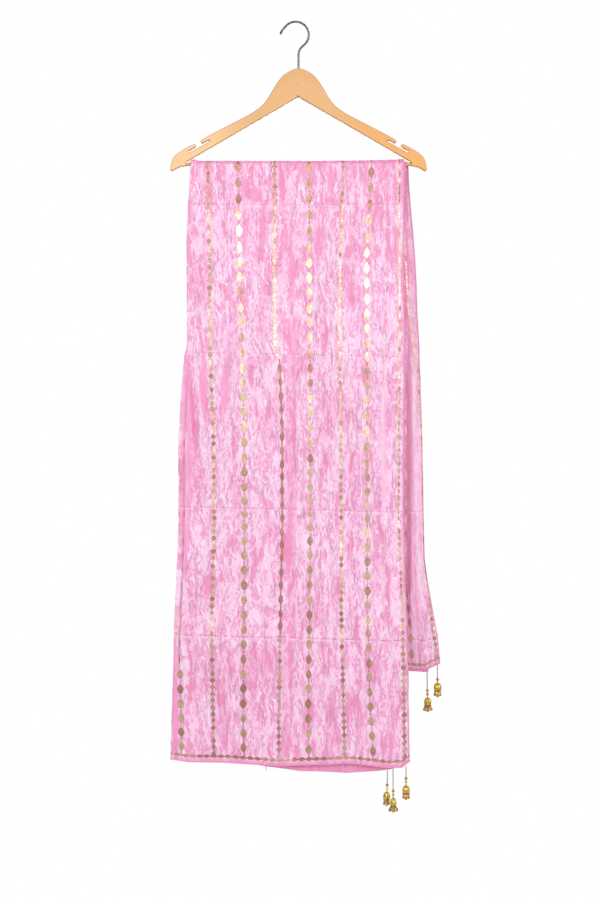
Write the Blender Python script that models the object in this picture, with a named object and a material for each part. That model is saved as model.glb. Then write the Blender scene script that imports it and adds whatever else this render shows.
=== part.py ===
"""Dupatta stole, folded in half along its length and hung over the bar of a wooden hanger.

Metres, +Z up, +X to the viewer's right, the viewer on the -Y side. The origin is the underside
of the hook's crown, where a rail carries it. The stole is one long cloth with a tassel at each
corner. Its fold lies on the left, its two selvedges on the right, and its long fall in front.
"""
import math

import bmesh
import bpy
from mathutils import Vector

# ---- Hanger: driving sizes -------------------------------------------------------------------
WIRE_RADIUS = 0.0019          # hook wire
HOOK_RADIUS = 0.0228          # centre line of the crook
HOOK_FLARE = 0.0034           # how far the tip opens out of the crook's circle
HOOK_TIP_ANGLE = 176.0        # degrees from +X, counter-clockwise seen from the front
HOOK_NECK_ANGLE = -50.0
HOOK_FLARE_FROM = 140.0
SHANK_TOP = -0.0560           # the neck's bend ends and the straight shank begins
SHANK_DEPTH = 0.0120          # shank inside the wood
CENTRE_X = 0.0050             # the hanger's centre line, right of the crown
WOOD_THICKNESS = 0.0120
WOOD_EDGE = 0.0011            # rounding of the wood's long edges
CLEARANCE = 0.0003            # gap kept between touching pieces
BAR_RADIUS = 0.0030
BAR_LEVEL = -0.2456
BAR_HALF_LENGTH = 0.1949

# The wood's right half from the dome's top to its under-side apex: out from the centre line,
# level, and whether the outline runs round through the point.
WOOD_OUTLINE = (
    # out,    level,   round
    (0.0000, -0.0797, True),     # dome
    (0.0222, -0.0887, True),
    (0.0335, -0.1000, True),
    (0.0425, -0.1134, True),
    (0.0524, -0.1300, True),
    (0.0613, -0.1420, True),
    (0.0729, -0.1517, True),
    (0.0911, -0.1630, True),     # shoulder
    (0.1493, -0.1930, False),
    (0.1650, -0.2018, True),     # inner prong
    (0.1696, -0.2064, True),
    (0.1666, -0.2098, True),
    (0.1570, -0.2048, False),
    (0.1533, -0.2048, True),     # inner end of the strap notch
    (0.1540, -0.2078, False),
    (0.1890, -0.2272, False),    # notch floor
    (0.1916, -0.2258, True),
    (0.1908, -0.2230, False),
    (0.1795, -0.2172, True),     # outer prong
    (0.1776, -0.2146, True),
    (0.1808, -0.2114, True),
    (0.1951, -0.2180, True),     # rounded end
    (0.2123, -0.2293, True),
    (0.2196, -0.2400, True),
    (0.2222, -0.2552, True),
    (0.2190, -0.2574, True),
    (0.2110, -0.2532, True),
    (0.2040, -0.2502, False),
    (0.1952, -0.2494, False),    # face that takes the bar
    (0.1952, -0.2424, False),
    (0.0000, -0.1293, False),    # apex of the under-side
)
OUTLINE_STEPS = 3             # points on each round stretch
END_CUT = 0.1500              # out from the centre line, where the wood's ends begin

# ---- Cloth: driving sizes --------------------------------------------------------------------
WALL = 0.00105
LAYER_GAP = 0.00085           # between the two layers where they lie over the bar
FOLD_STEPS = 6                # facets round the lengthwise fold
TURN_STEPS = 12               # facets over the bar
ROW_STEP = 0.045              # longest row of a fall

INNER_TURN = BAR_RADIUS + CLEARANCE + WALL / 2
OUTER_TURN = INNER_TURN + WALL + LAYER_GAP
FALL_TOP = BAR_LEVEL - CLEARANCE / 2

# The four levels where the stole was folded up in its packet, which stay as creases.
CREASES = (-0.3160, -0.5770, -0.8476, -1.0660)

# Edges of the front fall: the lengthwise fold, the outer layer's and inner layer's selvedges.
FRONT_EDGES = (
    # level,   fold,    outer,   inner
    (-0.2456, -0.1826, 0.1880, 0.1915),
    (-0.3160, -0.1870, 0.1870, 0.1880),
    (-0.4000, -0.1887, 0.1860, 0.1835),
    (-0.5600, -0.1880, 0.1882, 0.1790),
    (-0.5770, -0.1925, 0.1890, 0.1785),
    (-0.6550, -0.1995, 0.1870, 0.1770),
    (-0.7250, -0.2030, 0.1870, 0.1755),
    (-0.8476, -0.2030, 0.1873, 0.1735),
    (-1.0020, -0.2078, 0.1873, 0.1720),
    (-1.0660, -0.2110, 0.1885, 0.1718),
    (-1.1100, -0.2120, 0.1925, 0.1718),
    (-1.2900, -0.2172, 0.1965, 0.1726),
)
# Edges of the back fall, which swings out to the right towards its hem.
BACK_EDGES = (
    # level,   fold,    outer,   inner
    (-0.2456, -0.1826, 0.1880, 0.1950),
    (-0.3160, -0.1820, 0.1905, 0.2000),
    (-0.4000, -0.1805, 0.1935, 0.2070),
    (-0.5770, -0.1750, 0.2000, 0.2154),
    (-0.7250, -0.1700, 0.2045, 0.2200),
    (-0.8476, -0.1670, 0.2075, 0.2220),
    (-0.9300, -0.1650, 0.2095, 0.2240),
    (-0.9650, -0.1640, 0.2120, 0.2288),
    (-1.0100, -0.1620, 0.2180, 0.2363),
    (-1.0660, -0.1590, 0.2255, 0.2465),
    (-1.1250, -0.1560, 0.2312, 0.2514),
)
# How far each layer hangs from the bar's plane.
HANG = (
    # level,   front outer, front inner, back inner, back outer
    (-0.2456, OUTER_TURN, INNER_TURN, INNER_TURN, OUTER_TURN),
    (-0.2600, 0.0068, 0.0043, 0.0042, 0.0066),
    (-0.3160, 0.0108, 0.0063, 0.0055, 0.0092),
    (-0.5770, 0.0225, 0.0152, 0.0095, 0.0162),
    (-0.8476, 0.0165, 0.0097, 0.0076, 0.0142),
    (-1.0660, 0.0200, 0.0126, 0.0108, 0.0188),
    (-1.1250, 0.0190, 0.0116, 0.0100, 0.0178),
    (-1.2900, 0.0160, 0.0092, 0.0090, 0.0160),
)

# Long soft folds that both layers of a fall share: ridges stand out from the bar's plane.
FRONT_FOLDS = (
    # x at top, x at foot, from,    to,      half width, height
    (-0.0085, -0.0110, -0.300, -1.290, 0.017, -0.0036),
    (-0.1230, -0.1190, -0.330, -1.180, 0.023, 0.0032),
    (-0.0700, -0.0610, -0.400, -1.290, 0.021, 0.0030),
    (0.0500, 0.0550, -0.300, -1.290, 0.026, 0.0034),
    (0.1030, 0.1080, -0.450, -1.160, 0.018, -0.0026),
    (0.1520, 0.1500, -0.570, -0.980, 0.015, 0.0036),
    (0.1760, 0.1790, -0.560, -1.080, 0.011, -0.0034),
    (-0.1800, -0.1660, -0.520, -0.900, 0.010, -0.0034),
    (-0.1500, -0.1560, -0.880, -1.290, 0.016, -0.0024),
)
BACK_FOLDS = (
    # x at top, x at foot, from,    to,      half width, height
    (-0.1300, -0.1080, -0.290, -1.130, 0.025, 0.0040),
    (-0.0700, -0.0480, -0.340, -1.130, 0.020, -0.0034),
    (0.0050, 0.0300, -0.290, -1.130, 0.028, 0.0042),
    (0.0760, 0.1010, -0.420, -1.130, 0.021, -0.0030),
    (0.1290, 0.1560, -0.300, -1.130, 0.022, 0.0036),
    (0.1800, 0.2080, -0.330, -1.130, 0.016, -0.0030),
)
FOLD_RUN_OUT = 0.075          # length over which a long fold fades in and out

# The hems, which dip unevenly: each layer's lowest edge from left to right.
FRONT_OUTER_HEM = ((-0.217, -1.2790), (-0.185, -1.2840), (-0.114, -1.2850), (-0.027, -1.2911),
                   (0.077, -1.2873), (0.110, -1.2873), (0.141, -1.2920), (0.183, -1.2937),
                   (0.197, -1.2830))
FRONT_INNER_HEM = ((-0.217, -1.2785), (-0.066, -1.2880), (0.008, -1.2988), (0.046, -1.2995),
                   (0.089, -1.3024), (0.141, -1.2985), (0.173, -1.2940))
BACK_INNER_HEM = ((-0.156, -1.1215), (0.195, -1.1240), (0.219, -1.1265), (0.228, -1.1250),
                  (0.234, -1.1210), (0.252, -1.1130))
BACK_OUTER_HEM = ((-0.156, -1.1225), (0.195, -1.1262), (0.225, -1.1284), (0.232, -1.1262))
HEM_BLEND = 0.110             # the rows above a hem follow it over this height

# The four hanging stretches. side is -1 in front of the bar and +1 behind it, hang and selvedge
# are columns of the tables above, and an outer stretch wraps round the lengthwise fold.
FALLS = {
    # name: (side, hang, mate's hang, selvedge, edges, long folds, hem, columns, wraps)
    "front_outer": (-1, 1, 2, 2, FRONT_EDGES, FRONT_FOLDS, FRONT_OUTER_HEM, 32, True),
    "front_inner": (-1, 2, 1, 3, FRONT_EDGES, FRONT_FOLDS, FRONT_INNER_HEM, 24, False),
    "back_inner": (1, 3, 4, 3, BACK_EDGES, BACK_FOLDS, BACK_INNER_HEM, 24, False),
    "back_outer": (1, 4, 3, 2, BACK_EDGES, BACK_FOLDS, BACK_OUTER_HEM, 24, True),
}

# ---- Tassels ---------------------------------------------------------------------------------
# Each hangs from the hem near a corner: the stretch that carries it, where along the hem, how
# far its head swings out along X and Y, the length of cord and its beads.
TASSELS = (
    # name,                     stretch,       x,      swing x, swing y, cord,   beads
    ("tassel_front_outer", "front_outer", 0.1908, 0.0000, -0.0010, 0.0205, 2),
    ("tassel_front_inner_left", "front_inner", 0.1592, -0.0018, 0.0075, 0.0262, 2),
    ("tassel_front_inner_right", "front_inner", 0.1686, 0.0002, -0.0065, 0.0366, 2),
    ("tassel_back_outer", "back_outer", 0.2290, 0.0003, 0.0010, 0.0345, 2),
    ("tassel_back_inner", "back_inner", 0.2466, 0.0002, -0.0010, 0.0250, 1),
)
TASSEL_SIDES = 12
CORD_RADIUS = 0.0009
BEAD_RADIUS = 0.0022
BEAD_PITCH = 0.0063
# The bell below the beads: drop from the bell's top, radius, and depth of the petals' scallops.
BELL_PROFILE = (
    (0.0000, 0.0018, 0.00),
    (0.0012, 0.0042, 0.00),
    (0.0048, 0.0062, 0.00),
    (0.0095, 0.0066, 0.00),
    (0.0140, 0.0053, 0.00),
    (0.0168, 0.0060, 0.10),
    (0.0205, 0.0082, 0.16),
    (0.0232, 0.0072, 0.22),
    (0.0245, 0.0030, 0.00),
)

# ---- Finishes --------------------------------------------------------------------------------
FINISHES = {
    # slot: (colour, roughness, metallic)
    "cloth": ((0.90, 0.40, 0.62), 0.45, 0.0),
    "wood": ((0.82, 0.52, 0.27), 0.50, 0.0),
    "steel": ((0.32, 0.32, 0.33), 0.30, 1.0),
    "tassel_gold": ((0.80, 0.62, 0.22), 0.30, 1.0),
}


def finish(obj, slot):
    """Gives the piece its own Principled material and puts it in the scene."""
    colour, roughness, metallic = FINISHES[slot]
    material = bpy.data.materials.new(f"{obj.name}_{slot}")
    material.use_nodes = True
    shader = material.node_tree.nodes["Principled BSDF"]
    shader.inputs["Base Color"].default_value = (*colour, 1.0)
    shader.inputs["Roughness"].default_value = roughness
    shader.inputs["Metallic"].default_value = metallic
    obj.data.materials.append(material)
    bpy.context.scene.collection.objects.link(obj)
    return obj


def mesh_object(name, mesh_data, slot):
    """Turns a bmesh into a smooth shaded object."""
    bmesh.ops.recalc_face_normals(mesh_data, faces=mesh_data.faces)
    mesh = bpy.data.meshes.new(name)
    mesh_data.to_mesh(mesh)
    mesh_data.free()
    mesh.shade_smooth()
    mesh.set_sharp_from_angle(angle=math.radians(50))
    return finish(bpy.data.objects.new(name, mesh), slot)


def blend(value, low, high):
    """Rises smoothly from 0 at low to 1 at high."""
    share = min(1.0, max(0.0, (value - low) / (high - low)))
    return share * share * (3.0 - 2.0 * share)


def read(table, level, column):
    """A column of a table at a level, between its rows."""
    for above, below in zip(table, table[1:]):
        if level >= below[0]:
            share = min(1.0, max(0.0, (above[0] - level) / (above[0] - below[0])))
            return above[column] + (below[column] - above[column]) * share
    return table[-1][column]


def through(points, steps):
    """Catmull-Rom points from the second of four points to the third."""
    a, b, c, d = (Vector(p) for p in points)
    run = []
    for step in range(steps):
        t = step / steps
        run.append(0.5 * (2 * b + (c - a) * t + (2 * a - 5 * b + 4 * c - d) * t ** 2
                          + (3 * b - a - 3 * c + d) * t ** 3))
    return run


# ---- Hanger ----------------------------------------------------------------------------------
def wood_half():
    """The right half's outline, from the dome's top to the apex, with its round stretches."""
    rows = WOOD_OUTLINE
    half = []
    for i in range(len(rows) - 1):
        here, after = rows[i], rows[i + 1]
        before = rows[i - 1] if i else (-after[0], after[1], True)
        beyond = rows[min(i + 2, len(rows) - 1)]
        if here[2] and after[2]:
            points = [(row[0], row[1]) for row in (before, here, after, beyond)]
            half.extend(through(points, OUTLINE_STEPS))
        else:
            half.append(Vector((here[0], here[1])))
    half.append(Vector((rows[-1][0], rows[-1][1])))
    return half


def wood_length(name, low, high):
    """The flat wooden shoulders from low to high along X from the centre line, edges rounded."""
    half = wood_half()
    outline = half + [Vector((-p.x, p.y)) for p in reversed(half[1:-1])]
    mesh_data = bmesh.new()
    front = [mesh_data.verts.new((CENTRE_X + p.x, -WOOD_THICKNESS / 2, p.y)) for p in outline]
    face = mesh_data.faces.new(front)
    grown = bmesh.ops.extrude_face_region(mesh_data, geom=[face], use_keep_orig=True)
    back = [item for item in grown["geom"] if isinstance(item, bmesh.types.BMVert)]
    bmesh.ops.translate(mesh_data, verts=back, vec=(0.0, WOOD_THICKNESS, 0.0))
    rims = [edge for edge in mesh_data.edges
            if abs(edge.verts[0].co.y - edge.verts[1].co.y) < WOOD_EDGE]
    bmesh.ops.bevel(mesh_data, geom=rims, offset=WOOD_EDGE, segments=1, affect="EDGES",
                    profile=0.5, clamp_overlap=True)
    for reach, outward in ((low, -1.0), (high, 1.0)):
        geometry = mesh_data.verts[:] + mesh_data.edges[:] + mesh_data.faces[:]
        cut = bmesh.ops.bisect_plane(mesh_data, geom=geometry, clear_outer=True,
                                     plane_co=(CENTRE_X + reach, 0.0, 0.0),
                                     plane_no=(outward, 0.0, 0.0))
        rim = [item for item in cut["geom_cut"] if isinstance(item, bmesh.types.BMEdge)]
        if rim:
            bmesh.ops.edgeloop_fill(mesh_data, edges=rim)
    return mesh_object(name, mesh_data, "wood")


def hanger_body():
    """The middle of the shoulders, with the hook's hole."""
    body = wood_length("hanger_body", CLEARANCE - END_CUT, END_CUT - CLEARANCE)
    hole = bmesh.new()
    depth = SHANK_DEPTH + CLEARANCE
    bmesh.ops.create_cone(hole, cap_ends=True, segments=16, depth=2 * depth,
                          radius1=WIRE_RADIUS + CLEARANCE, radius2=WIRE_RADIUS + CLEARANCE)
    mesh = bpy.data.meshes.new("hook_hole")
    hole.to_mesh(mesh)
    hole.free()
    cutter = bpy.data.objects.new("hook_hole", mesh)
    cutter.location = (CENTRE_X, 0.0, WOOD_OUTLINE[0][1])
    cutter.hide_render = True
    cutter.display_type = "WIRE"
    bpy.context.scene.collection.objects.link(cutter)
    cut = body.modifiers.new("hook_hole", "BOOLEAN")
    cut.operation = "DIFFERENCE"
    cut.object = cutter
    return body


def hanger_ends():
    """The two ends of the shoulders, each with its strap notch and the seat of the bar."""
    beyond = 2 * BAR_HALF_LENGTH
    wood_length("hanger_end_left", -beyond, -END_CUT)
    wood_length("hanger_end_right", END_CUT, beyond)


def hanger_bar():
    """The round bar between the wood's two ends."""
    mesh_data = bmesh.new()
    bmesh.ops.create_cone(mesh_data, cap_ends=True, segments=16,
                          depth=2 * BAR_HALF_LENGTH, radius1=BAR_RADIUS, radius2=BAR_RADIUS)
    bar = mesh_object("hanger_bar", mesh_data, "wood")
    bar.rotation_euler = (0.0, math.pi / 2, 0.0)
    bar.location = (CENTRE_X, 0.0, BAR_LEVEL)
    return bar


def hook_path():
    """The wire's centre line: crook from tip to neck, the neck's bend, and the shank."""
    centre_z = WIRE_RADIUS - HOOK_RADIUS
    path = []
    turns = 24
    for step in range(turns + 1):
        angle = HOOK_TIP_ANGLE + (HOOK_NECK_ANGLE - HOOK_TIP_ANGLE) * step / turns
        flare = HOOK_FLARE * blend(angle, HOOK_FLARE_FROM, HOOK_TIP_ANGLE + 6.0)
        radius = HOOK_RADIUS + flare
        turn = math.radians(angle)
        path.append(Vector((radius * math.cos(turn), 0.0, centre_z + radius * math.sin(turn))))
    neck = path[-1]
    heading = (neck - path[-2]).normalized()
    shank = Vector((CENTRE_X, 0.0, SHANK_TOP))
    pull = 0.42 * (neck - shank).length
    bend_from, bend_to = neck + heading * pull, shank + Vector((0.0, 0.0, pull))
    for step in range(1, 9):
        t = step / 8
        s = 1.0 - t
        path.append(s ** 3 * neck + 3 * s * s * t * bend_from + 3 * s * t * t * bend_to
                    + t ** 3 * shank)
    path.append(Vector((CENTRE_X, 0.0, WOOD_OUTLINE[0][1] - SHANK_DEPTH)))
    return path


def hanger_hook():
    """The bent steel wire, with a blunt round tip."""
    path = hook_path()
    curve = bpy.data.curves.new("hanger_hook", "CURVE")
    curve.dimensions = "3D"
    curve.bevel_depth = WIRE_RADIUS
    curve.bevel_resolution = 3
    curve.use_fill_caps = True
    spline = curve.splines.new("POLY")
    spline.points.add(len(path) - 1)
    for point, place in zip(spline.points, path):
        point.co = (*place, 1.0)
    spline.points[0].radius = 0.80
    spline.points[1].radius = 1.18
    spline.points[2].radius = 1.10
    return finish(bpy.data.objects.new("hanger_hook", curve), "steel")


# ---- Cloth -----------------------------------------------------------------------------------
def fold_height(folds, x, level):
    """Height of the long folds at a place on a fall."""
    height = 0.0
    for top_x, foot_x, start, stop, half_width, peak in folds:
        share = (level - start) / (stop - start)
        middle = top_x + (foot_x - top_x) * share
        along = min(blend(start - level, 0.0, FOLD_RUN_OUT),
                    blend(level - stop, -FOLD_RUN_OUT / 2, FOLD_RUN_OUT))
        height += peak * along * math.exp(-((x - middle) / half_width) ** 2)
    return height


def hem_level(hem, x):
    """The hem's level at x, between its named points."""
    for left, right in zip(hem, hem[1:]):
        if x <= right[0]:
            share = max(0.0, (x - left[0]) / (right[0] - left[0]))
            return left[1] + (right[1] - left[1]) * share
    return hem[-1][1]


def mean_hem(hem):
    """The level that a fall's last row is laid out at before it follows the hem."""
    return sum(point[1] for point in hem) / len(hem)


def row_levels(bottom):
    """Levels from the bar to a hem: short rows at the bar, and a row on each crease."""
    fixed = [FALL_TOP, FALL_TOP - 0.006, FALL_TOP - 0.016, FALL_TOP - 0.038]
    fixed += [crease for crease in CREASES if crease > bottom + 0.02]
    fixed.append(bottom)
    levels = [fixed[0]]
    for above, below in zip(fixed, fixed[1:]):
        parts = math.ceil((above - below) / ROW_STEP)
        levels += [above + (below - above) * (k + 1) / parts for k in range(parts)]
    return levels


def cloth_wall(name, rows):
    """A cloth wall of even thickness about a net of points."""
    mesh_data = bmesh.new()
    net = [[mesh_data.verts.new(point) for point in row] for row in rows]
    for above, below in zip(net, net[1:]):
        for k in range(len(above) - 1):
            mesh_data.faces.new((above[k], above[k + 1], below[k + 1], below[k]))
    wall = mesh_object(name, mesh_data, "cloth")
    solidify = wall.modifiers.new("wall", "SOLIDIFY")
    solidify.thickness = WALL
    solidify.offset = 0.0
    solidify.use_even_offset = True
    solidify.use_quality_normals = True
    return wall


def fall(name):
    """One layer of a fall, from its selvedge to the lengthwise fold, and round it if it wraps.

    Gives the hem's points from the selvedge inwards.
    """
    side, own, mate, selvedge_column, edges, folds, hem, columns, wraps = FALLS[name]
    bottom = mean_hem(hem)
    rows = []
    for level in row_levels(bottom):
        hang = read(HANG, level, own)
        radius = abs(read(HANG, level, mate) - hang) / 2
        turn_x = read(edges, level, 1) + WALL / 2 + radius
        selvedge = read(edges, level, selvedge_column)
        start = turn_x if wraps else turn_x + CLEARANCE
        follow = blend(level, bottom + HEM_BLEND, bottom)
        row = []
        for k in range(columns + 1):
            x = selvedge + (start - selvedge) * k / columns
            depth = hang + fold_height(folds, x, level)
            row.append((x, side * depth, level + (hem_level(hem, x) - bottom) * follow))
        if wraps:
            lift = row[-1][2]
            middle = hang - radius + fold_height(folds, turn_x, level)
            for k in range(1, FOLD_STEPS + 1):
                around = math.pi * k / FOLD_STEPS
                x = turn_x - radius * math.sin(around)
                row.append((x, side * (middle + radius * math.cos(around)), lift))
        rows.append(row)
    cloth_wall(name, rows)
    return rows[-1][:columns + 1]


def turn(name, radius, front_column, back_column, left, columns):
    """The stretch of a layer that lies over the bar, from the front fall to the back fall."""
    rows = []
    gap = CLEARANCE / 2 / radius
    for step in range(TURN_STEPS + 1):
        share = step / TURN_STEPS
        angle = gap + (math.pi - 2 * gap) * share
        right = (FRONT_EDGES[0][front_column] * (1 - share) + BACK_EDGES[0][back_column] * share)
        y = -radius * math.cos(angle)
        z = BAR_LEVEL + radius * math.sin(angle)
        rows.append([(right + (left - right) * k / columns, y, z) for k in range(columns + 1)])
    return cloth_wall(name, rows)


def stole():
    """The six stretches of the one cloth. Gives each hanging stretch's hem."""
    hems = {name: fall(name) for name in FALLS}
    left = FRONT_EDGES[0][1] + WALL / 2
    turn("turn_outer", OUTER_TURN, 2, 2, left, 6)
    turn("turn_inner", INNER_TURN, 3, 3, left + OUTER_TURN - INNER_TURN, 6)
    return hems


# ---- Tassels ---------------------------------------------------------------------------------
def tassel_profile(cord, beads):
    """Rings down a tassel: drop, radius and scallop."""
    rings = [(0.0, CORD_RADIUS, 0.0), (cord - BEAD_RADIUS, CORD_RADIUS, 0.0)]
    for k in range(beads):
        middle = cord + BEAD_PITCH * k
        rings.append((middle - 0.5 * BEAD_RADIUS, 0.86 * BEAD_RADIUS, 0.0))
        rings.append((middle + 0.5 * BEAD_RADIUS, 0.86 * BEAD_RADIUS, 0.0))
        rings.append((middle + 1.25 * BEAD_RADIUS, CORD_RADIUS, 0.0))
    bell_top = cord + BEAD_PITCH * (beads - 1) + 1.9 * BEAD_RADIUS
    rings += [(bell_top + drop, radius, scallop) for drop, radius, scallop in BELL_PROFILE]
    return rings


def tassel_seat(hem, x):
    """The point just below a hem that the tassel at x hangs from."""
    for right, left in zip(hem, hem[1:]):
        if left[0] <= x <= right[0]:
            share = (x - left[0]) / (right[0] - left[0])
            y = left[1] + (right[1] - left[1]) * share
            z = left[2] + (right[2] - left[2]) * share
            slope = abs((right[2] - left[2]) / (right[0] - left[0]))
            return (x, y, z - CLEARANCE - CORD_RADIUS * slope)
    raise ValueError(f"no hem at x = {x}")


def tassel(name, seat, swing_x, swing_y, cord, beads):
    """A cord, its beads and a bell with a petalled skirt, one body hanging from a hem."""
    rings = tassel_profile(cord, beads)
    length = rings[-1][0]
    mesh_data = bmesh.new()
    net = []
    for drop, radius, scallop in rings:
        ring = []
        for k in range(TASSEL_SIDES):
            around = 2 * math.pi * k / TASSEL_SIDES
            reach = radius * (1 - scallop * (k % 2))
            ring.append(mesh_data.verts.new((reach * math.cos(around), reach * math.sin(around),
                                             -drop)))
        net.append(ring)
    for above, below in zip(net, net[1:]):
        for k in range(TASSEL_SIDES):
            n = (k + 1) % TASSEL_SIDES
            mesh_data.faces.new((above[k], above[n], below[n], below[k]))
    mesh_data.faces.new(net[0])
    mesh_data.faces.new(reversed(net[-1]))
    piece = mesh_object(name, mesh_data, "tassel_gold")
    piece.location = seat
    piece.rotation_euler = (math.asin(swing_y / length), -math.asin(swing_x / length), 0.0)
    return piece


def main():
    for obj in list(bpy.data.objects):
        bpy.data.objects.remove(obj, do_unlink=True)
    hanger_body()
    hanger_ends()
    hanger_bar()
    hanger_hook()
    hems = stole()
    for name, stretch, x, swing_x, swing_y, cord, beads in TASSELS:
        tassel(name, tassel_seat(hems[stretch], x), swing_x, swing_y, cord, beads)


main()
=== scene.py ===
"""Looks of the dupatta stole on its wooden hanger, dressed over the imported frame.

Metres, in the frame's axes: +Z up, +X to the viewer's right, the viewer on the -Y side. The sizes
that shape the cloth, the wood and the hook are those of the part's own source.
"""
import math
from collections import namedtuple

import bmesh
import bpy
import numpy as np
from mathutils import Matrix, Vector
from mathutils.geometry import tessellate_polygon


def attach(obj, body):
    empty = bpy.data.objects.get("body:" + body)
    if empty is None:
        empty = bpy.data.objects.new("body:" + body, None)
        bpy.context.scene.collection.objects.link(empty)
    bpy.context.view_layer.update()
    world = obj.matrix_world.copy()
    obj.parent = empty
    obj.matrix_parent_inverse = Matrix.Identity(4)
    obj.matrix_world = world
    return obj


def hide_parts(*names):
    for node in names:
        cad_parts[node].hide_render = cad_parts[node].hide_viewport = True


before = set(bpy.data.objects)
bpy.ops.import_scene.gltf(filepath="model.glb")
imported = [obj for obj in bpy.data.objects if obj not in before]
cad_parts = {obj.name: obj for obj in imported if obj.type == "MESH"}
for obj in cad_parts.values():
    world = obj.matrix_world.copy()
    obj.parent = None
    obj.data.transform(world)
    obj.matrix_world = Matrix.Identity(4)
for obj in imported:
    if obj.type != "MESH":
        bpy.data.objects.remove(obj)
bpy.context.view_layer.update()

BODY = "root"

# ---- Camera, light and floor ---------------------------------------------------------------------
FRAME_HEIGHT = 1.5624         # metres of the cloth's plane in the height of the picture
LENS = 85.0
SENSOR = 36.0
CAMERA_X = 0.0075
CAMERA_LEVEL = -0.7416
CAMERA_DISTANCE = LENS / SENSOR * FRAME_HEIGHT
MIDDLE = (0.0, 0.0, -0.70)
LIGHTS = (
    # name, place, what it faces, width, height, power
    ("key", (2.15, -2.9, 1.00), MIDDLE, 0.50, 2.0, 44.0),
    ("fill", (-2.35, -2.7, 0.70), MIDDLE, 0.40, 2.0, 26.0),
    ("glare", (0.05, -CAMERA_DISTANCE, CAMERA_LEVEL + 0.92), (0.0, 0.0, -0.45), 1.3, 0.40, 10.0),
    ("low_glare", (0.05, -CAMERA_DISTANCE - 0.1, CAMERA_LEVEL + 0.22), (0.0, 0.0, -0.65),
     1.3, 0.30, 3.0),
    ("rear", (0.6, 3.2, 0.4), MIDDLE, 2.0, 2.0, 60.0),
)
SURROUND = 0.68               # strength of the white surround as a light
FLOOR_LEVEL = -1.66
FLOOR_RADIUS = 0.62

# ---- Hanger --------------------------------------------------------------------------------------
WIRE_RADIUS = 0.0019
HOOK_RADIUS = 0.0228
HOOK_FLARE = 0.0034
HOOK_TIP_ANGLE = 176.0
HOOK_NECK_ANGLE = -50.0
HOOK_FLARE_FROM = 140.0
SHANK_TOP = -0.0560
CENTRE_X = 0.0050
WOOD_THICKNESS = 0.0120
WOOD_EDGE = 0.0016
BAR_LEVEL = -0.2456
WOOD_OUTLINE = (
    # out,    level,   round
    (0.0000, -0.0797, True),
    (0.0222, -0.0887, True),
    (0.0335, -0.1000, True),
    (0.0425, -0.1134, True),
    (0.0524, -0.1300, True),
    (0.0613, -0.1420, True),
    (0.0729, -0.1517, True),
    (0.0911, -0.1630, True),
    (0.1493, -0.1930, False),
    (0.1650, -0.2018, True),
    (0.1696, -0.2064, True),
    (0.1666, -0.2098, True),
    (0.1570, -0.2048, False),
    (0.1533, -0.2048, True),
    (0.1543, -0.2068, False),
    (0.1892, -0.2260, False),
    (0.1911, -0.2251, True),
    (0.1908, -0.2232, False),
    (0.1795, -0.2172, True),
    (0.1776, -0.2146, True),
    (0.1808, -0.2114, True),
    (0.1951, -0.2180, True),
    (0.2123, -0.2293, True),
    (0.2196, -0.2400, True),
    (0.2222, -0.2552, True),
    (0.2190, -0.2574, True),
    (0.2110, -0.2532, True),
    (0.2040, -0.2502, False),
    (0.1952, -0.2494, False),
    (0.1952, -0.2424, False),
    (0.0000, -0.1293, False),
)
OUTLINE_STEPS = 8             # places along each rounded stretch of the outline
STRAIGHT_STEP = 0.0060
EDGE_RINGS = 5                # rows of faces round each long edge of the wood
GRAIN_SLOPE = math.radians(29.0)
PINS = (
    # x,      level,   radius
    (0.0033, -0.1075, 0.0009),
    (0.0042, -0.1283, 0.0014),
)
CROOK_STEPS = 60
NECK_STEPS = 18
NECK_PULL = 0.42              # how far the neck runs on before it bends, as a share of it
TIP_RADII = (0.86, 1.16, 1.20, 1.12, 1.02)   # of the wire's rolled tip, in wire radii
CAP_RINGS = (0.98, 0.80, 0.45)               # rings of a tube's round ends
WOOD_LIGHT = (0.745, 0.415, 0.170)
WOOD_DARK = (0.690, 0.370, 0.140)
WOOD_WARM = (0.800, 0.370, 0.090)
# painted sheen: the paler colour laid over one arm's end
WOOD_SHEEN = (0.930, 0.580, 0.300)
WOOD_FIBRE = (0.600, 0.320, 0.120)
# painted shade: the darker brown across the wood's rounded edges, where they turn from the face
WOOD_EDGE_SHADE = (0.400, 0.180, 0.055)
WARM_FROM, WARM_TO = 0.05, 0.17    # towards one end the wood's colour warms,
SHEEN_FROM, SHEEN_TO = -0.06, -0.17  # and towards the other it grows paler
STEEL_DARK = (0.120, 0.120, 0.125)
STEEL_LIGHT = (0.230, 0.230, 0.240)

# ---- Tassels -------------------------------------------------------------------------------------
TASSELS = (
    # CAD node, swing x, swing y, cord, beads, dome, skirt, ring of beads
    ("tassel_front_outer", 0.0000, -0.0010, 0.0205, 2, 1.00, 0.86, 1.10),
    ("tassel_front_inner_left", -0.0018, 0.0075, 0.0262, 2, 0.95, 0.78, 0.95),
    ("tassel_front_inner_right", 0.0002, -0.0065, 0.0366, 2, 0.84, 1.12, 0.85),
    ("tassel_back_outer", 0.0014, 0.0010, 0.0345, 2, 1.00, 1.10, 1.05),
    ("tassel_back_inner", 0.0004, -0.0010, 0.0250, 1, 1.06, 0.92, 1.00),
)
STRAND_RADIUS = 0.00056
STRAND_PITCH = 0.0036
BEAD_RADIUS = 0.0026
BEAD_PITCH = 0.0063
DOME = ((0.0000, 0.0013), (0.0008, 0.0025), (0.0022, 0.0038), (0.0042, 0.0051), (0.0066, 0.0060),
        (0.0090, 0.0063), (0.0112, 0.0060), (0.0130, 0.0054), (0.0142, 0.0046))
SKIRT = ((0.0142, 0.0044), (0.0156, 0.0049), (0.0176, 0.0060), (0.0198, 0.0073), (0.0216, 0.0078),
         (0.0230, 0.0073), (0.0238, 0.0062))
SWIRLS = 9
PETALS = 8
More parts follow.
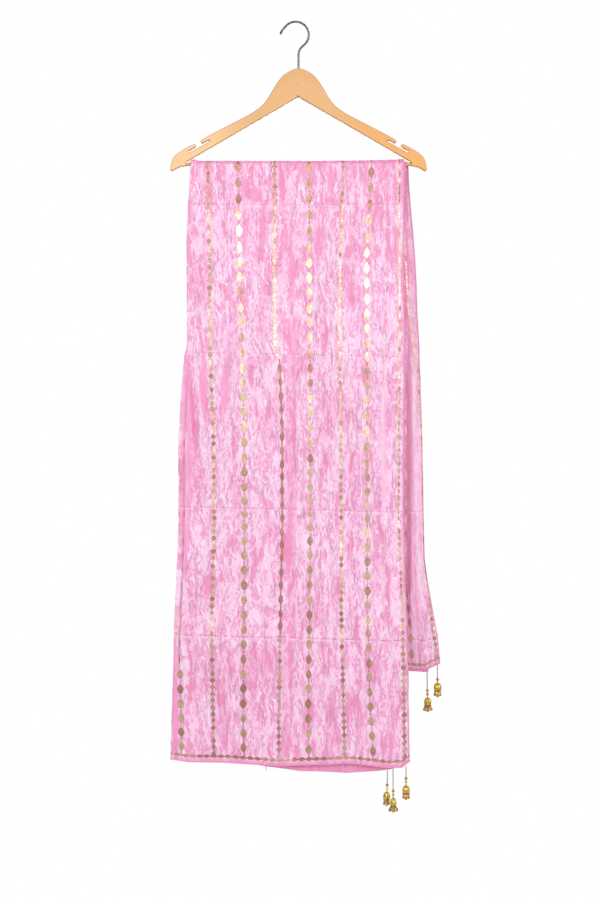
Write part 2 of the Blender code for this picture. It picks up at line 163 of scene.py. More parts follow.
# Drops from a bell's top: of its ring of beads, its petals' beads, its last bead and its foot.
RING_DROP, PETAL_DROP, LAST_DROP, BELL_LENGTH = 0.0150, 0.0222, 0.0243, 0.0245
RING_BEADS = 13
CORD_SHORT = 0.0230           # the cord ends this far above the bell's foot
BEAD_PROFILE = ((-1.05, 0.30), (-0.80, 0.55), (-0.10, 1.0), (0.10, 1.0), (0.80, 0.55),
                (1.05, 0.30))
GOLD, COPPER = 0, 1           # material slots of a tassel's metal
GOLD_DARK = (0.270, 0.180, 0.030)
GOLD_LIGHT = (0.860, 0.650, 0.130)
COPPER_DARK = (0.200, 0.090, 0.050)
COPPER_LIGHT = (0.720, 0.430, 0.180)
CORD_DARK = (0.340, 0.240, 0.170)
CORD_LIGHT = (0.600, 0.480, 0.370)

# ---- Cloth: how it hangs -------------------------------------------------------------------------
THICKNESS = 0.00045
INNER_TURN = 0.003825         # radius of the inner layer over the bar
OUTER_TURN = 0.005725
FALL_TOP = BAR_LEVEL - 0.00015
CREASES = (-0.3160, -0.5770, -0.8476, -1.0660)
FRONT_EDGES = (
    # level,   fold,    outer,   inner
    (-0.2456, -0.1826, 0.1880, 0.1915),
    (-0.3160, -0.1870, 0.1870, 0.1880),
    (-0.4000, -0.1887, 0.1868, 0.1835),
    (-0.5600, -0.1880, 0.1882, 0.1790),
    (-0.5770, -0.1925, 0.1890, 0.1785),
    (-0.6550, -0.1995, 0.1876, 0.1770),
    (-0.7250, -0.2030, 0.1872, 0.1755),
    (-0.8476, -0.2030, 0.1873, 0.1735),
    (-0.9500, -0.2060, 0.1890, 0.1725),
    (-1.0660, -0.2110, 0.1925, 0.1718),
    (-1.1100, -0.2120, 0.1940, 0.1718),
    (-1.2900, -0.2172, 0.1965, 0.1726),
)
BACK_EDGES = (
    # level,   fold,    outer,   inner
    (-0.2456, -0.1826, 0.1880, 0.1950),
    (-0.3160, -0.1820, 0.1905, 0.2000),
    (-0.4000, -0.1805, 0.1935, 0.2070),
    (-0.5770, -0.1750, 0.2000, 0.2154),
    (-0.7250, -0.1700, 0.2045, 0.2200),
    (-0.8476, -0.1670, 0.2075, 0.2220),
    (-0.9300, -0.1650, 0.2095, 0.2240),
    (-0.9650, -0.1640, 0.2120, 0.2288),
    (-1.0100, -0.1620, 0.2180, 0.2363),
    (-1.0660, -0.1590, 0.2255, 0.2465),
    (-1.1250, -0.1560, 0.2312, 0.2514),
)
HANG = (
    # level,   front outer, front inner, back inner, back outer
    (-0.2456, OUTER_TURN, INNER_TURN, INNER_TURN, OUTER_TURN),
    (-0.2600, 0.0068, 0.0043, 0.0042, 0.0066),
    (-0.3160, 0.0108, 0.0063, 0.0055, 0.0092),
    (-0.5770, 0.0225, 0.0152, 0.0095, 0.0162),
    (-0.8476, 0.0165, 0.0097, 0.0076, 0.0142),
    (-1.0660, 0.0200, 0.0126, 0.0108, 0.0188),
    (-1.1250, 0.0190, 0.0116, 0.0100, 0.0178),
    (-1.2900, 0.0160, 0.0092, 0.0090, 0.0160),
)
FRONT_FOLDS = (
    # x at top, x at foot, from,    to,      half width, height
    (-0.0085, -0.0110, -0.300, -1.290, 0.017, -0.0036),
    (-0.1230, -0.1190, -0.330, -1.180, 0.023, 0.0032),
    (-0.0700, -0.0610, -0.400, -1.290, 0.021, 0.0030),
    (0.0500, 0.0550, -0.300, -1.290, 0.026, 0.0034),
    (0.1030, 0.1080, -0.450, -1.160, 0.018, -0.0026),
    (0.1520, 0.1500, -0.570, -0.980, 0.015, 0.0036),
    (0.1760, 0.1790, -0.560, -1.080, 0.011, -0.0034),
    (-0.1800, -0.1660, -0.520, -0.900, 0.010, -0.0034),
    (-0.1500, -0.1560, -0.880, -1.290, 0.016, -0.0024),
)
BACK_FOLDS = (
    # x at top, x at foot, from,    to,      half width, height
    (-0.1300, -0.1080, -0.290, -1.130, 0.025, 0.0040),
    (-0.0700, -0.0480, -0.340, -1.130, 0.020, -0.0034),
    (0.0050, 0.0300, -0.290, -1.130, 0.028, 0.0042),
    (0.0760, 0.1010, -0.420, -1.130, 0.021, -0.0030),
    (0.1290, 0.1560, -0.300, -1.130, 0.022, 0.0036),
    (0.1800, 0.2080, -0.330, -1.130, 0.016, -0.0030),
)
FOLD_RUN_OUT = 0.075
# Narrow creases pressed into one layer by the packet, as soft troughs (-) and ridges (+).
FRONT_PRESSES = (
    # x at top, x at foot, from,    to,      half width, height
    (-0.1227, -0.1222, -0.580, -0.700, 0.0022, -0.0017),
    (-0.1806, -0.1690, -0.540, -0.770, 0.0030, -0.0022),
    (-0.1870, -0.1800, -0.560, -0.720, 0.0040, 0.0016),
    (0.1500, 0.1475, -0.590, -0.880, 0.0040, 0.0018),
    (0.1590, 0.1570, -0.600, -0.860, 0.0026, -0.0014),
    (0.0945, 0.0940, -0.890, -1.010, 0.0030, 0.0014),
    (0.1512, 0.1520, -0.930, -1.000, 0.0024, -0.0015),
    (-0.0570, -0.0560, -0.900, -0.990, 0.0026, 0.0013),
    (-0.1660, -0.1650, -0.820, -0.900, 0.0030, -0.0014),
    (-0.0215, -0.0225, -0.290, -1.280, 0.0030, 0.0011),
    (0.0070, 0.0060, -0.330, -1.260, 0.0026, 0.0010),
    (0.1500, 0.1600, -0.235, -0.300, 0.0030, -0.0013),
    (0.1570, 0.1545, -0.240, -0.305, 0.0024, -0.0012),
    (-0.1340, -0.1350, -1.130, -1.270, 0.0022, -0.0014),
    (-0.0960, -0.0940, -1.060, -1.200, 0.0030, -0.0010),
    (0.0480, 0.0470, -0.350, -0.560, 0.0030, -0.0012),
    (0.1040, 0.1010, -0.310, -0.420, 0.0028, -0.0012),
    (0.0550, 0.0570, -1.080, -1.260, 0.0030, -0.0011),
)
BACK_PRESSES = (
    # x at top, x at foot, from,    to,      half width, height
    (0.1990, 0.2030, -0.560, -1.070, 0.0050, -0.0014),
    (0.2120, 0.2240, -0.700, -1.100, 0.0022, -0.0010),
    (-0.1400, -0.1320, -0.420, -0.640, 0.0028, -0.0016),
    (-0.0350, -0.0240, -0.600, -0.840, 0.0030, 0.0015),
    (0.0520, 0.0640, -0.330, -0.560, 0.0028, -0.0014),
    (0.1120, 0.1240, -0.700, -0.960, 0.0032, -0.0015),
    (-0.0900, -0.0830, -0.860, -1.080, 0.0026, 0.0013),
    (0.1650, 0.1780, -0.500, -0.700, 0.0026, 0.0013),
)
PRESS_RUN_OUT = 0.025
# Larger facets of the front, given painted shade (+) or painted highlight (-) against the crush,
# and how plain.
FRONT_FACETS = (
    # x,      level,   half width, half height, lean, depth, plain
    (-0.1222, -0.6410, 0.0070, 0.0480, 0.02, 0.22, 0.90),
    (-0.0700, -0.3000, 0.0120, 0.0150, 0.00, 0.30, 0.80),
    (-0.1600, -0.6300, 0.0080, 0.0700, 0.02, 0.12, 0.80),
    (-0.0690, -0.3180, 0.0150, 0.0060, 0.00, -0.60, 0.60),
    (-0.0570, -0.3510, 0.0042, 0.0270, 0.02, 0.30, 0.80),
    (-0.0185, -0.3710, 0.0036, 0.0300, 0.00, 0.35, 0.80),
    (-0.0195, -0.5330, 0.0036, 0.0350, 0.00, 0.35, 0.80),
    (-0.0055, -0.4320, 0.0095, 0.0250, 0.00, 0.15, 0.80),
    (-0.0020, -0.5450, 0.0060, 0.0170, 0.00, -0.40, 0.80),
    (0.0395, -0.3850, 0.0055, 0.0400, 0.03, 0.28, 0.60),
    (-0.0790, -0.3730, 0.0110, 0.0500, 0.00, -0.30, 0.30),
    (0.1530, -0.7280, 0.0060, 0.1350, 0.01, -0.45, 0.70),
    (0.0945, -0.9500, 0.0026, 0.0430, 0.00, -0.60, 0.80),
    (0.1515, -0.9690, 0.0026, 0.0250, 0.00, -0.60, 0.80),
    (-0.0073, -0.7900, 0.0095, 0.5000, 0.00, 0.28, 0.30),
    (-0.1905, -0.7600, 0.0085, 0.2400, 0.01, 0.06, 0.85),
    (-0.1865, -0.6750, 0.0045, 0.1100, -0.03, 0.15, 0.85),
    (-0.1785, -0.6700, 0.0034, 0.0950, -0.08, 0.55, 0.90),
    (-0.1670, -0.6480, 0.0026, 0.0820, -0.12, -0.85, 0.40),
    (-0.2080, -1.1760, 0.0060, 0.1200, 0.00, 0.30, 0.80),
    (-0.0455, -1.2620, 0.0011, 0.0075, 0.00, 0.90, 0.90),
    (-0.1190, -1.2420, 0.0016, 0.0300, 0.02, 0.80, 0.90),
    (0.1650, -1.2500, 0.0026, 0.0300, 0.02, 0.45, 0.90),
    (0.0300, -1.2550, 0.0034, 0.0220, 0.00, 0.40, 0.60),
    (0.1542, -0.2660, 0.0020, 0.0090, 0.00, 1.00, 0.90),
    (0.1578, -0.2620, 0.0010, 0.0180, 0.10, 1.00, 0.90),
    (0.1585, -0.3160, 0.0012, 0.0230, 0.00, 0.80, 0.90),
    (0.1715, -0.3860, 0.0014, 0.0180, 0.00, 0.60, 0.80),
    (0.1480, -0.3500, 0.0016, 0.0280, 0.02, 0.50, 0.70),
    (0.1862, -0.8500, 0.0022, 0.4500, 0.00, -0.10, 0.95),
    (-0.1785, -0.2620, 0.0016, 0.0160, 0.00, 0.90, 0.90),
    (-0.0800, -0.2560, 0.0012, 0.0070, 0.20, 0.90, 0.80),
    (-0.0250, -0.2700, 0.0050, 0.0220, 0.00, 0.25, 0.70),
    (0.0620, -0.2720, 0.0070, 0.0230, 0.00, 0.30, 0.80),
)
# The back layer's facets, the same way: painted shade (+) or painted highlight (-), and how plain.
BACK_FACETS = (
    # x,      level,   half width, half height, lean, depth, plain
    (0.2050, -0.6800, 0.0280, 0.5200, 0.00, -0.20, 0.55),
    (0.1930, -0.4450, 0.0034, 0.0800, 0.00, 1.00, 0.95),
    (0.1925, -0.3180, 0.0020, 0.0350, -0.10, 0.80, 0.90),
    (0.1975, -0.7600, 0.0052, 0.2700, 0.00, 0.80, 0.95),
    (0.2075, -0.7200, 0.0040, 0.1500, -0.01, -0.75, 0.50),
    (0.2100, -1.0000, 0.0026, 0.1100, -0.06, 0.35, 0.60),
    (0.2150, -0.9400, 0.0028, 0.1200, -0.06, -0.50, 0.50),
    (0.2120, -1.1215, 0.0180, 0.0042, 0.00, 1.00, 0.95),
)
# The front inner layer's hem strip, lightened with painted highlight.
INNER_FACETS = ((0.0400, -1.2960, 0.3000, 0.0035, 0.00, -0.60, 0.60),)
FRONT_OUTER_HEM = ((-0.217, -1.2760), (-0.185, -1.2810), (-0.114, -1.2820), (-0.027, -1.2881),
                   (0.060, -1.2850), (0.084, -1.2838), (0.108, -1.2850), (0.132, -1.2878),
                   (0.156, -1.2912), (0.183, -1.2905), (0.197, -1.2800))
FRONT_INNER_HEM = ((-0.217, -1.2770), (-0.066, -1.2865), (0.008, -1.2973), (0.046, -1.2980),
                   (0.089, -1.3005), (0.141, -1.2970), (0.158, -1.2950), (0.173, -1.2925))
BACK_INNER_HEM = ((-0.156, -1.1215), (0.195, -1.1240), (0.219, -1.1265), (0.228, -1.1250),
                  (0.234, -1.1210), (0.252, -1.1130))
BACK_OUTER_HEM = ((-0.156, -1.1225), (0.195, -1.1262), (0.225, -1.1284), (0.232, -1.1262))
# How far the front's turn over the bar stands above the bar's own roundness, across it.
TOP_RISE = ((-0.1860, 0.0000), (-0.1805, 0.0012), (-0.1780, 0.0030), (-0.1740, 0.0028),
            (-0.1700, 0.0004), (0.0000, 0.0000), (0.0900, 0.0006), (0.1500, 0.0018),
            (0.1800, 0.0028), (0.1870, 0.0026), (0.1920, 0.0016))
HEM_BLEND = 0.110
HEM_WIDTH = 0.0062            # of the doubled hem along each foot
HEM_STEP = 0.0012             # its upper edge falls within this
HEM_RISE = 0.00030
ROLL_DEPTH = 0.0007           # half sizes of the rolled edges
ROLL_WIDTH = 0.0010
STITCH_PITCH = 0.0031
STITCH_LENGTH = 0.0019
STITCH_RADIUS = 0.00020
STITCH_ABOVE = HEM_WIDTH - HEM_STEP - 0.0004   # the foot of the cloth
HEM_ROWS = 8                  # rows of the net that reach above the hem
EDGE_SIDES = 8                # faces round a rolled edge
THREAD_RADIUS = 0.00034
KNOT_RADIUS = 0.0008
# The front's lower right corner, turned up on itself: the fold's two ends and the free tip.
FLAP_FOLD = ((0.1830, -1.2906), (0.1988, -1.2784))
FLAP_TIP = (0.1872, -1.2796)
FLAP_STEPS = 12
# Loose thread ends at a pucker in the front's hem: x, level, drop, sway.
THREAD_ENDS = ((-0.0520, -1.2880, 0.0085, 0.0012), (-0.0505, -1.2885, 0.0050, -0.0016))
SEWING_DARK = (0.560, 0.120, 0.300)
SEWING_LIGHT = (0.800, 0.300, 0.520)

# ---- Cloth: its print, in metres across the cloth from a selvedge --------------------------------
CLOTH_WIDTH = 0.794
SMALL_CHAINS = (0.0085, 0.1125, 0.2262, 0.3387)
LEAF_CHAINS = (0.0634, 0.1741, 0.2868, 0.3970)
LEAF_PITCH = 0.02595
LEAF_START = 0.0275           # middle of the last leaf above the hem
# The crush draws the leaves' cloth out or together: (level, how far the leaves lag).
LEAF_DRIFT = ((-1.2590, 0.0000), (-0.9244, 0.0038), (-0.8513, 0.0090), (-0.8312, 0.0147),
              (-0.7557, 0.0181), (-0.7005, 0.0154), (-0.5737, 0.0190), (-0.5187, 0.0155),
              (-0.4954, 0.0178), (-0.3907, 0.0165), (-0.3621, 0.0125), (-0.3088, 0.0100),
              (-0.2488, 0.0057))
# The leaves that lag further: chain, then (level, how much more).
CHAIN_DRIFT = (0.0634, ((-1.2590, 0.0020), (-1.1700, 0.0060), (-1.0500, 0.0080),
                        (-0.9300, 0.0115), (-0.8300, 0.0095), (-0.7300, 0.0070),
                        (-0.5800, 0.0050), (-0.5200, 0.0130), (-0.4800, 0.0100),
                        (-0.2490, 0.0085)))
# Painted highlight on the foil, brighter or duller from panel to panel: (level, share of bright
# gold).
FOIL_LIT = ((-1.2900, 0.08), (-1.0750, 0.12), (-1.0600, 0.26), (-0.8600, 0.32), (-0.8350, 0.50),
            (-0.5900, 0.60), (-0.5650, 0.76), (-0.3300, 0.82), (-0.3140, 0.03), (-0.2300, 0.00))
# Stretches of a chain given painted glints (+) or painted shade (-), as if they leaned to the light
# or from it: (chain, level, half length, strength).
GLINTS = (
    (0.3387, -0.2900, 0.0300, -0.60),
    (0.3387, -0.3620, 0.0500, -0.50),
    (0.2868, -0.3720, 0.0420, 1.00),
    (0.2868, -0.5150, 0.0650, -0.85),
    (0.2868, -0.6850, 0.0300, 0.55),
    (0.2868, -0.7600, 0.0300, -0.70),
    (0.2868, -0.8120, 0.0150, 0.35),
    (0.2868, -0.8800, 0.0300, -0.50),
    (0.2262, -0.3900, 0.0700, 0.35),
    (0.2262, -0.5200, 0.0500, 0.80),
    (0.1741, -0.3020, 0.0110, 0.80),
    (0.1741, -0.3690, 0.0420, -0.90),
    (0.1741, -0.4540, 0.0220, 1.00),
    (0.1741, -0.5300, 0.0400, 0.75),
    (0.1741, -0.6100, 0.0220, -0.80),
    (0.1741, -0.6680, 0.0200, 0.75),
    (0.1741, -0.7400, 0.0240, -0.45),
    (0.1741, -0.9750, 0.0200, 0.45),
    (0.1125, -0.3650, 0.0500, -0.45),
    (0.1125, -0.4700, 0.0500, 0.45),
    (0.1125, -0.7100, 0.0220, 0.50),
    (0.0634, -0.3470, 0.0330, -1.15),
    (0.0634, -0.4500, 0.0620, 0.85),
    (0.0634, -0.5760, 0.0120, 1.00),
    (0.0634, -0.6500, 0.0300, -0.45),
    (0.0634, -0.8300, 0.0120, 0.70),
    (0.0634, -0.9000, 0.0220, 0.60),
    (0.0085, -0.3700, 0.0500, 0.50),
)
# The back's painted glints, the same way.
BACK_GLINTS = ((0.0634, -0.8200, 0.2400, 0.50), (0.0085, -0.8600, 0.2200, 0.35))
GLINT_WIDTH = 0.0120
BACK_STRETCH = 1.0046          # lets the leaves of both falls meet over the bar
# Where the chains run on each layer: level, then x of each distance from the selvedge.
FRONT_OUTER_TRACKS = (
    # 0.0085   0.0634  0.1125  0.1741  0.2262   0.2868   0.3387   0.3970
    (-0.2521, (0.1802, 0.1318, 0.0818, 0.0234, -0.0365, -0.1000, -0.1521, -0.2150)),
    (-0.3163, (0.1790, 0.1286, 0.0811, 0.0238, -0.0361, -0.0991, -0.1510, -0.2150)),
    (-0.4031, (0.1802, 0.1227, 0.0769, 0.0236, -0.0365, -0.0970, -0.1491, -0.2130)),
    (-0.5594, (0.1795, 0.1234, 0.0759, 0.0253, -0.0358, -0.0934, -0.1481, -0.2090)),
    (-0.5888, (0.1792, 0.1240, 0.0760, 0.0253, -0.0273, -0.0927, -0.1469, -0.2060)),
    (-0.7069, (0.1786, 0.1229, 0.0781, 0.0253, -0.0234, -0.0889, -0.1425, -0.1965)),
    (-0.8631, (0.1781, 0.1236, 0.0785, 0.0255, -0.0231, -0.0884, -0.1406, -0.2009)),
    (-1.0194, (0.1842, 0.1240, 0.0785, 0.0240, -0.0260, -0.0892, -0.1451, -0.2009)),
    (-1.1756, (0.1870, 0.1281, 0.0826, 0.0217, -0.0288, -0.0906, -0.1434, -0.1990)),
    (-1.2537, (0.1883, 0.1335, 0.0844, 0.0227, -0.0293, -0.0899, -0.1418, -0.1974)),
)
FRONT_OUTER_AT = (0.0085, 0.0634, 0.1125, 0.1741, 0.2262, 0.2868, 0.3387, 0.3970)
# Beside the lengthwise fold the front steps back, and the last chain lies on the step's face.
EDGE_STEP = 0.0042
STEP_FROM, STEP_TO, STEP_RUN = -0.5900, -1.1300, 0.0400
STEP_PLACE = 0.0105           # in from the fold
STEP_WIDTH = 0.0013
BACK_INNER_TRACKS = (
    # 0.0085   0.0560  0.0634  0.0708  0.3300: the leaf chain lies squeezed on the side of a fold
    (-0.3160, (0.1830, 0.1525, 0.1500, 0.1475, -0.1500)),
    (-0.3800, (0.1895, 0.1545, 0.1520, 0.1495, -0.1500)),
    (-0.4934, (0.1955, 0.1585, 0.1560, 0.1535, -0.1500)),
    (-0.6079, (0.2120, 0.1903, 0.1880, 0.1857, -0.1500)),
    (-0.6965, (0.2175, 0.1934, 0.1912, 0.1890, -0.1500)),
    (-0.9309, (0.2238, 0.1941, 0.1918, 0.1896, -0.1500)),
    (-0.9881, (0.2305, 0.1958, 0.1932, 0.1907, -0.1500)),
    (-1.0300, (0.2355, 0.2008, 0.1968, 0.1928, -0.1500)),
    (-1.0541, (0.2385, 0.2058, 0.2004, 0.1950, -0.1500)),
    (-1.0975, (0.2450, 0.2076, 0.2016, 0.1956, -0.1500)),
)
BACK_INNER_AT = (0.0085, 0.0560, 0.0634, 0.0708, 0.3300)
BACK_OUTER_TRACKS = ((-0.2521, (0.1795, -0.1620)), (-1.1200, (0.2225, -0.1340)))
BACK_OUTER_AT = (0.0085, 0.3500)
FRONT_INNER_TRACKS = ((-0.2521, (0.1830, -0.1620)), (-1.2700, (0.1640, -0.2040)))
FRONT_INNER_AT = (0.0085, 0.3700)

# ---- Cloth: the crush of the satin ---------------------------------------------------------------
CRUSH_HEIGHT = 0.0012         # highest the crush stands, where the layers leave it room
CRUSH_ROOM = 0.26             # share of the gap between two layers that it takes
# Ridges of the crush: cell across, cell along, weight.
CRUSH_RIDGES = ((0.0125, 0.0560, 0.90), (0.0072, 0.0300, 0.75))
# Where the crush settles along the cloth: half width, share.
CALM_LEAF, CALM_SMALL, CALM_CREASE = (0.0066, 0.75), (0.0050, 0.50), (0.004, 0.45)
CREASE_WIDTH = 0.0028         # half width of the creases pressed across
CREASE_HEIGHT = 0.55          # and how much of the crush's room they take
HEM_WAVE = 0.0022             # how far the hem waves to and fro
EDGE_WAVE = 0.0011            # how far the selvedge wanders
INNER_INSET = 0.0006          # the inner layers end this far inside the lengthwise fold
SQUEEZED = 0.0065             # cloth that the step's face takes up on each side of the last chain
GLINT_GAIN = 0.62             # of bright gold for a glint of strength 1
TURN_STEPS = 24
WRAP_STEPS = 10
NOISE_SIZE = 211              # cells before the noise repeats

# A hanging stretch, with the stretch over the bar that it is woven with: its side, its own column
# of HANG and that of the layer beside it, its column of the edges, what shapes it, how fine its
# net is, whether it wraps the lengthwise fold, its radius over the bar, and its random seed.
Fall = namedtuple("Fall", "side own mate selvedge edges folds presses facets hem tracks at columns "
                          "row_step wraps turn seed")
FALLS = {
    "front_outer": Fall(-1, 1, 2, 2, FRONT_EDGES, FRONT_FOLDS, FRONT_PRESSES, FRONT_FACETS,
                        FRONT_OUTER_HEM, FRONT_OUTER_TRACKS, FRONT_OUTER_AT, 197, 0.0050, True,
                        OUTER_TURN, 11),
    "front_inner": Fall(-1, 2, 1, 3, FRONT_EDGES, FRONT_FOLDS, (), INNER_FACETS,
                        FRONT_INNER_HEM, FRONT_INNER_TRACKS, FRONT_INNER_AT, 150, 0.0062, False,
                        INNER_TURN, 23),
    "back_inner": Fall(1, 3, 4, 3, BACK_EDGES, BACK_FOLDS, BACK_PRESSES, BACK_FACETS,
                       BACK_INNER_HEM, BACK_INNER_TRACKS, BACK_INNER_AT, 190, 0.0056, False,
                       None, 37),
    "back_outer": Fall(1, 4, 3, 2, BACK_EDGES, BACK_FOLDS, BACK_PRESSES, (),
                       BACK_OUTER_HEM, BACK_OUTER_TRACKS, BACK_OUTER_AT, 205, 0.0050, True,
                       None, 53),
}


# ---- Small sums ----------------------------------------------------------------------------------
def smooth(value, low, high):
    """Rises smoothly from 0 at low to 1 at high."""
    share = np.clip((value - low) / (high - low), 0.0, 1.0)
    return share * share * (3.0 - 2.0 * share)


def read(table, level, column):
    """A column of a table, whose levels fall from row to row, at a level between its rows."""
    levels = [row[0] for row in table]
    values = [row[column] for row in table]
    return np.interp(-np.asarray(level, float), [-x for x in levels], values)


def bell(value, middle, width):
    """1 at a middle, and less with the distance from it."""
    return np.exp(-((value - middle) / width) ** 2)


def between(at, places, points):
    """The point of a run at a place between those that its points have."""
    return Vector([float(np.interp(at, places, [point[axis] for point in points]))
                   for axis in range(3)])


def in_cells(across, along, cell_across, cell_along, corner, ease):
    """A blend of the values that the four corners of a cell give at each place in it."""
    x, y = across / cell_across, along / cell_along
    i, j = np.floor(x).astype(int), np.floor(y).astype(int)
    fx, fy = x - i, y - j
    ease_x, ease_y = ease(fx), ease(fy)
    near, far = (corner(i, j + up, fx, fy - up) * (1 - ease_x)
                 + corner(i + 1, j + up, fx - 1, fy - up) * ease_x for up in (0, 1))
    return near * (1 - ease_y) + far * ease_y


def speckle(across, along, cell_across, cell_along, seed):
    """Smooth noise between 0 and 1 on cells of two sizes."""
    grid = np.random.default_rng(seed).random((NOISE_SIZE, NOISE_SIZE))
    return in_cells(across, along, cell_across, cell_along,
                    lambda i, j, fx, fy: grid[i % NOISE_SIZE, j % NOISE_SIZE],
                    lambda share: share * share * (3 - 2 * share))


def ripple(across, along, cell_across, cell_along, seed):
    """Gradient noise, about -0.7 to 0.7, on cells of two sizes."""
    turn = np.random.default_rng(seed).random((NOISE_SIZE, NOISE_SIZE)) * 2 * math.pi

    def corner(i, j, fx, fy):
        angle = turn[i % NOISE_SIZE, j % NOISE_SIZE]
        return np.cos(angle) * fx + np.sin(angle) * fy

    return in_cells(across, along, cell_across, cell_along, corner,
                    lambda share: share ** 3 * (share * (share * 6 - 15) + 10))


def crush(across, along, seed):
    """The crushed satin's height, about -1 to 1: long slack facets between sharp wavy ridges."""
    drift = ripple(across, along, 0.024, 0.060, seed)
    waver = ripple(across, along, 0.009, 0.024, seed + 1)
    side = across + 0.0085 * drift + 0.0036 * waver
    height = 0.9 * ripple(side, along, 0.0200, 0.0850, seed + 2)
    for number, (cell_across, cell_along, weight) in enumerate(CRUSH_RIDGES):
        wave = ripple(side, along, cell_across, cell_along, seed + 3 + number)
        height += weight * (0.55 - 2.6 * np.abs(wave))
    return height


def fold_height(folds, x, level, run_out):
    """Height of long folds or pressed creases at a place on a fall."""
    height = np.zeros_like(x)
    for top_x, foot_x, start, stop, half_width, peak in folds:
        middle = top_x + (foot_x - top_x) * (level - start) / (stop - start)
        along = np.minimum(smooth(start - level, 0.0, run_out),
                           smooth(level - stop, -run_out / 2, run_out))
        height += peak * along * bell(x, middle, half_width)
    return height


def plain_facets(patches, x, level):
    """How much painted shade (+) or painted highlight (-) the listed facets lay on the satin, and
    how plain.
    """
    tint, plain = np.zeros_like(x), np.zeros_like(x)
    ragged = 0.35 * ripple(x, level, 0.006, 0.016, 5)
    for middle_x, middle_level, half_width, half_height, lean, depth, calm in patches:
        up = (level - middle_level) / half_height
        side = (x - middle_x - lean * (level - middle_level)) / half_width
        inside = smooth(1.20 - np.abs(side) - up ** 2 + ragged, 0.0, 0.45)
        tint += depth * inside
        plain = np.maximum(plain, calm * inside)
    return np.clip(tint, -1.0, 1.0), plain


def row_levels(bottom, step):
    """Levels from the bar to a hem, with a row on each crease."""
    fixed = [FALL_TOP, FALL_TOP - 0.006]
    fixed += [crease for crease in CREASES if crease > bottom + 0.02]
    fixed += [bottom + HEM_WIDTH, bottom + HEM_WIDTH - HEM_STEP, bottom]
    levels = [fixed[0]]
    for above, below in zip(fixed, fixed[1:]):
        parts = math.ceil((above - below) / step)
        levels += [above + (below - above) * (k + 1) / parts for k in range(parts)]
    return np.array(levels)


# ---- Shader helpers ------------------------------------------------------------------------------
class Value:
    """What a node gives out. A sum written with it becomes a math node."""

    def __init__(self, nodes, socket):
        self.nodes, self.socket = nodes, socket

    def __abs__(self):
        return self.nodes.math("ABSOLUTE", self)


def as_node(operation, swapped=False):
    """The method of Value that writes one sum as a math node."""
    def method(self, other):
        return self.nodes.math(operation, *((other, self) if swapped else (self, other)))
    return method


for sign, operation in (("add", "ADD"), ("sub", "SUBTRACT"), ("mul", "MULTIPLY"),
                        ("truediv", "DIVIDE"), ("pow", "POWER"), ("mod", "FLOORED_MODULO")):
    setattr(Value, f"__{sign}__", as_node(operation))
    setattr(Value, f"__r{sign}__", as_node(operation, swapped=True))


class Nodes:
    """Builds one material's node tree."""

    def __init__(self, name):
        self.material = bpy.data.materials.new(name)
        self.material.use_nodes = True
        self.tree = self.material.node_tree
        self.shader = self.tree.nodes["Principled BSDF"]

    def add(self, kind, **settings):
        node = self.tree.nodes.new(kind)
        for key, value in settings.items():
            setattr(node, key, value)
        return node

    def feed(self, socket, value):
        if isinstance(value, Value):
            self.tree.links.new(value.socket, socket)
        else:
            socket.default_value = value

    def make(self, kind, output, inputs=None, **settings):
        """A node with its inputs fed, and what it gives out."""
        node = self.add(kind, **settings)
        for key, value in (inputs or {}).items():
            self.feed(node.inputs[key], value)
        return Value(self, node.outputs[output])

    def math(self, operation, *values):
        return self.make("ShaderNodeMath", 0, dict(enumerate(values)), operation=operation)

    def least(self, value, *others):
        for other in others:
            value = self.math("MINIMUM", value, other)
        return value

    def most(self, value, *others):
        for other in others:
            value = self.math("MAXIMUM", value, other)
        return value

    def ramp(self, value, start, stop, low=0.0, high=1.0):
        return self.make("ShaderNodeMapRange", "Result",
                         {"Value": value, "From Min": start, "From Max": stop,
                          "To Min": low, "To Max": high}, interpolation_type="SMOOTHSTEP")

    def mark(self, name):
        """A value that the mesh carries."""
        return self.make("ShaderNodeAttribute", "Fac", attribute_name=name)

    def place(self):
        return self.make("ShaderNodeTexCoord", "Object")

    def split(self, value, kind="ShaderNodeSeparateXYZ"):
        node = self.add(kind)
        self.feed(node.inputs[0], value)
        return [Value(self, socket) for socket in node.outputs]

    def join(self, *parts):
        return self.make("ShaderNodeCombineXYZ", 0, dict(enumerate(parts)))

    def noise(self, place, cells, detail=2.0, distortion=0.0):
        """Noise on cells of these sizes, or of 1 along the axes that none is given for."""
        stretch = [1 / cell for cell in cells] + [1.0] * (3 - len(cells))
        spread = self.make("ShaderNodeMapping", 0, {"Vector": place, "Scale": stretch})
        return self.make("ShaderNodeTexNoise", "Fac", {
            "Vector": spread, "Scale": 1.0, "Detail": detail, "Distortion": distortion})

    def bump(self, height, distance, strength=1.0, normal=None):
        inputs = {"Height": height, "Distance": distance, "Strength": strength}
        if normal is not None:
            inputs["Normal"] = normal
        return self.make("ShaderNodeBump", "Normal", inputs)

    def mix(self, factor, low, high, kind="RGBA"):
        node = self.add("ShaderNodeMix", data_type=kind)
        self.feed(node.inputs["Factor"], factor)
        ends = [s for s in node.inputs if s.type == kind and s.name in ("A", "B")]
        for socket, value in zip(ends, (low, high)):
            self.feed(socket, value if isinstance(value, Value) else (*value, 1.0))
        return Value(self, next(s for s in node.outputs if s.type == kind))

    def layers(self, colour, *layers):
        """A colour with others laid over it in turn: (share, colour) for each."""
        for share, other in layers:
            colour = self.mix(share, colour, other)
        return colour

    def set(self, **values):
        """Feeds the shader's own sockets, and gives the finished material."""
        for key, value in values.items():
            self.feed(self.shader.inputs[key.replace("_", " ")], value)
        return self.material


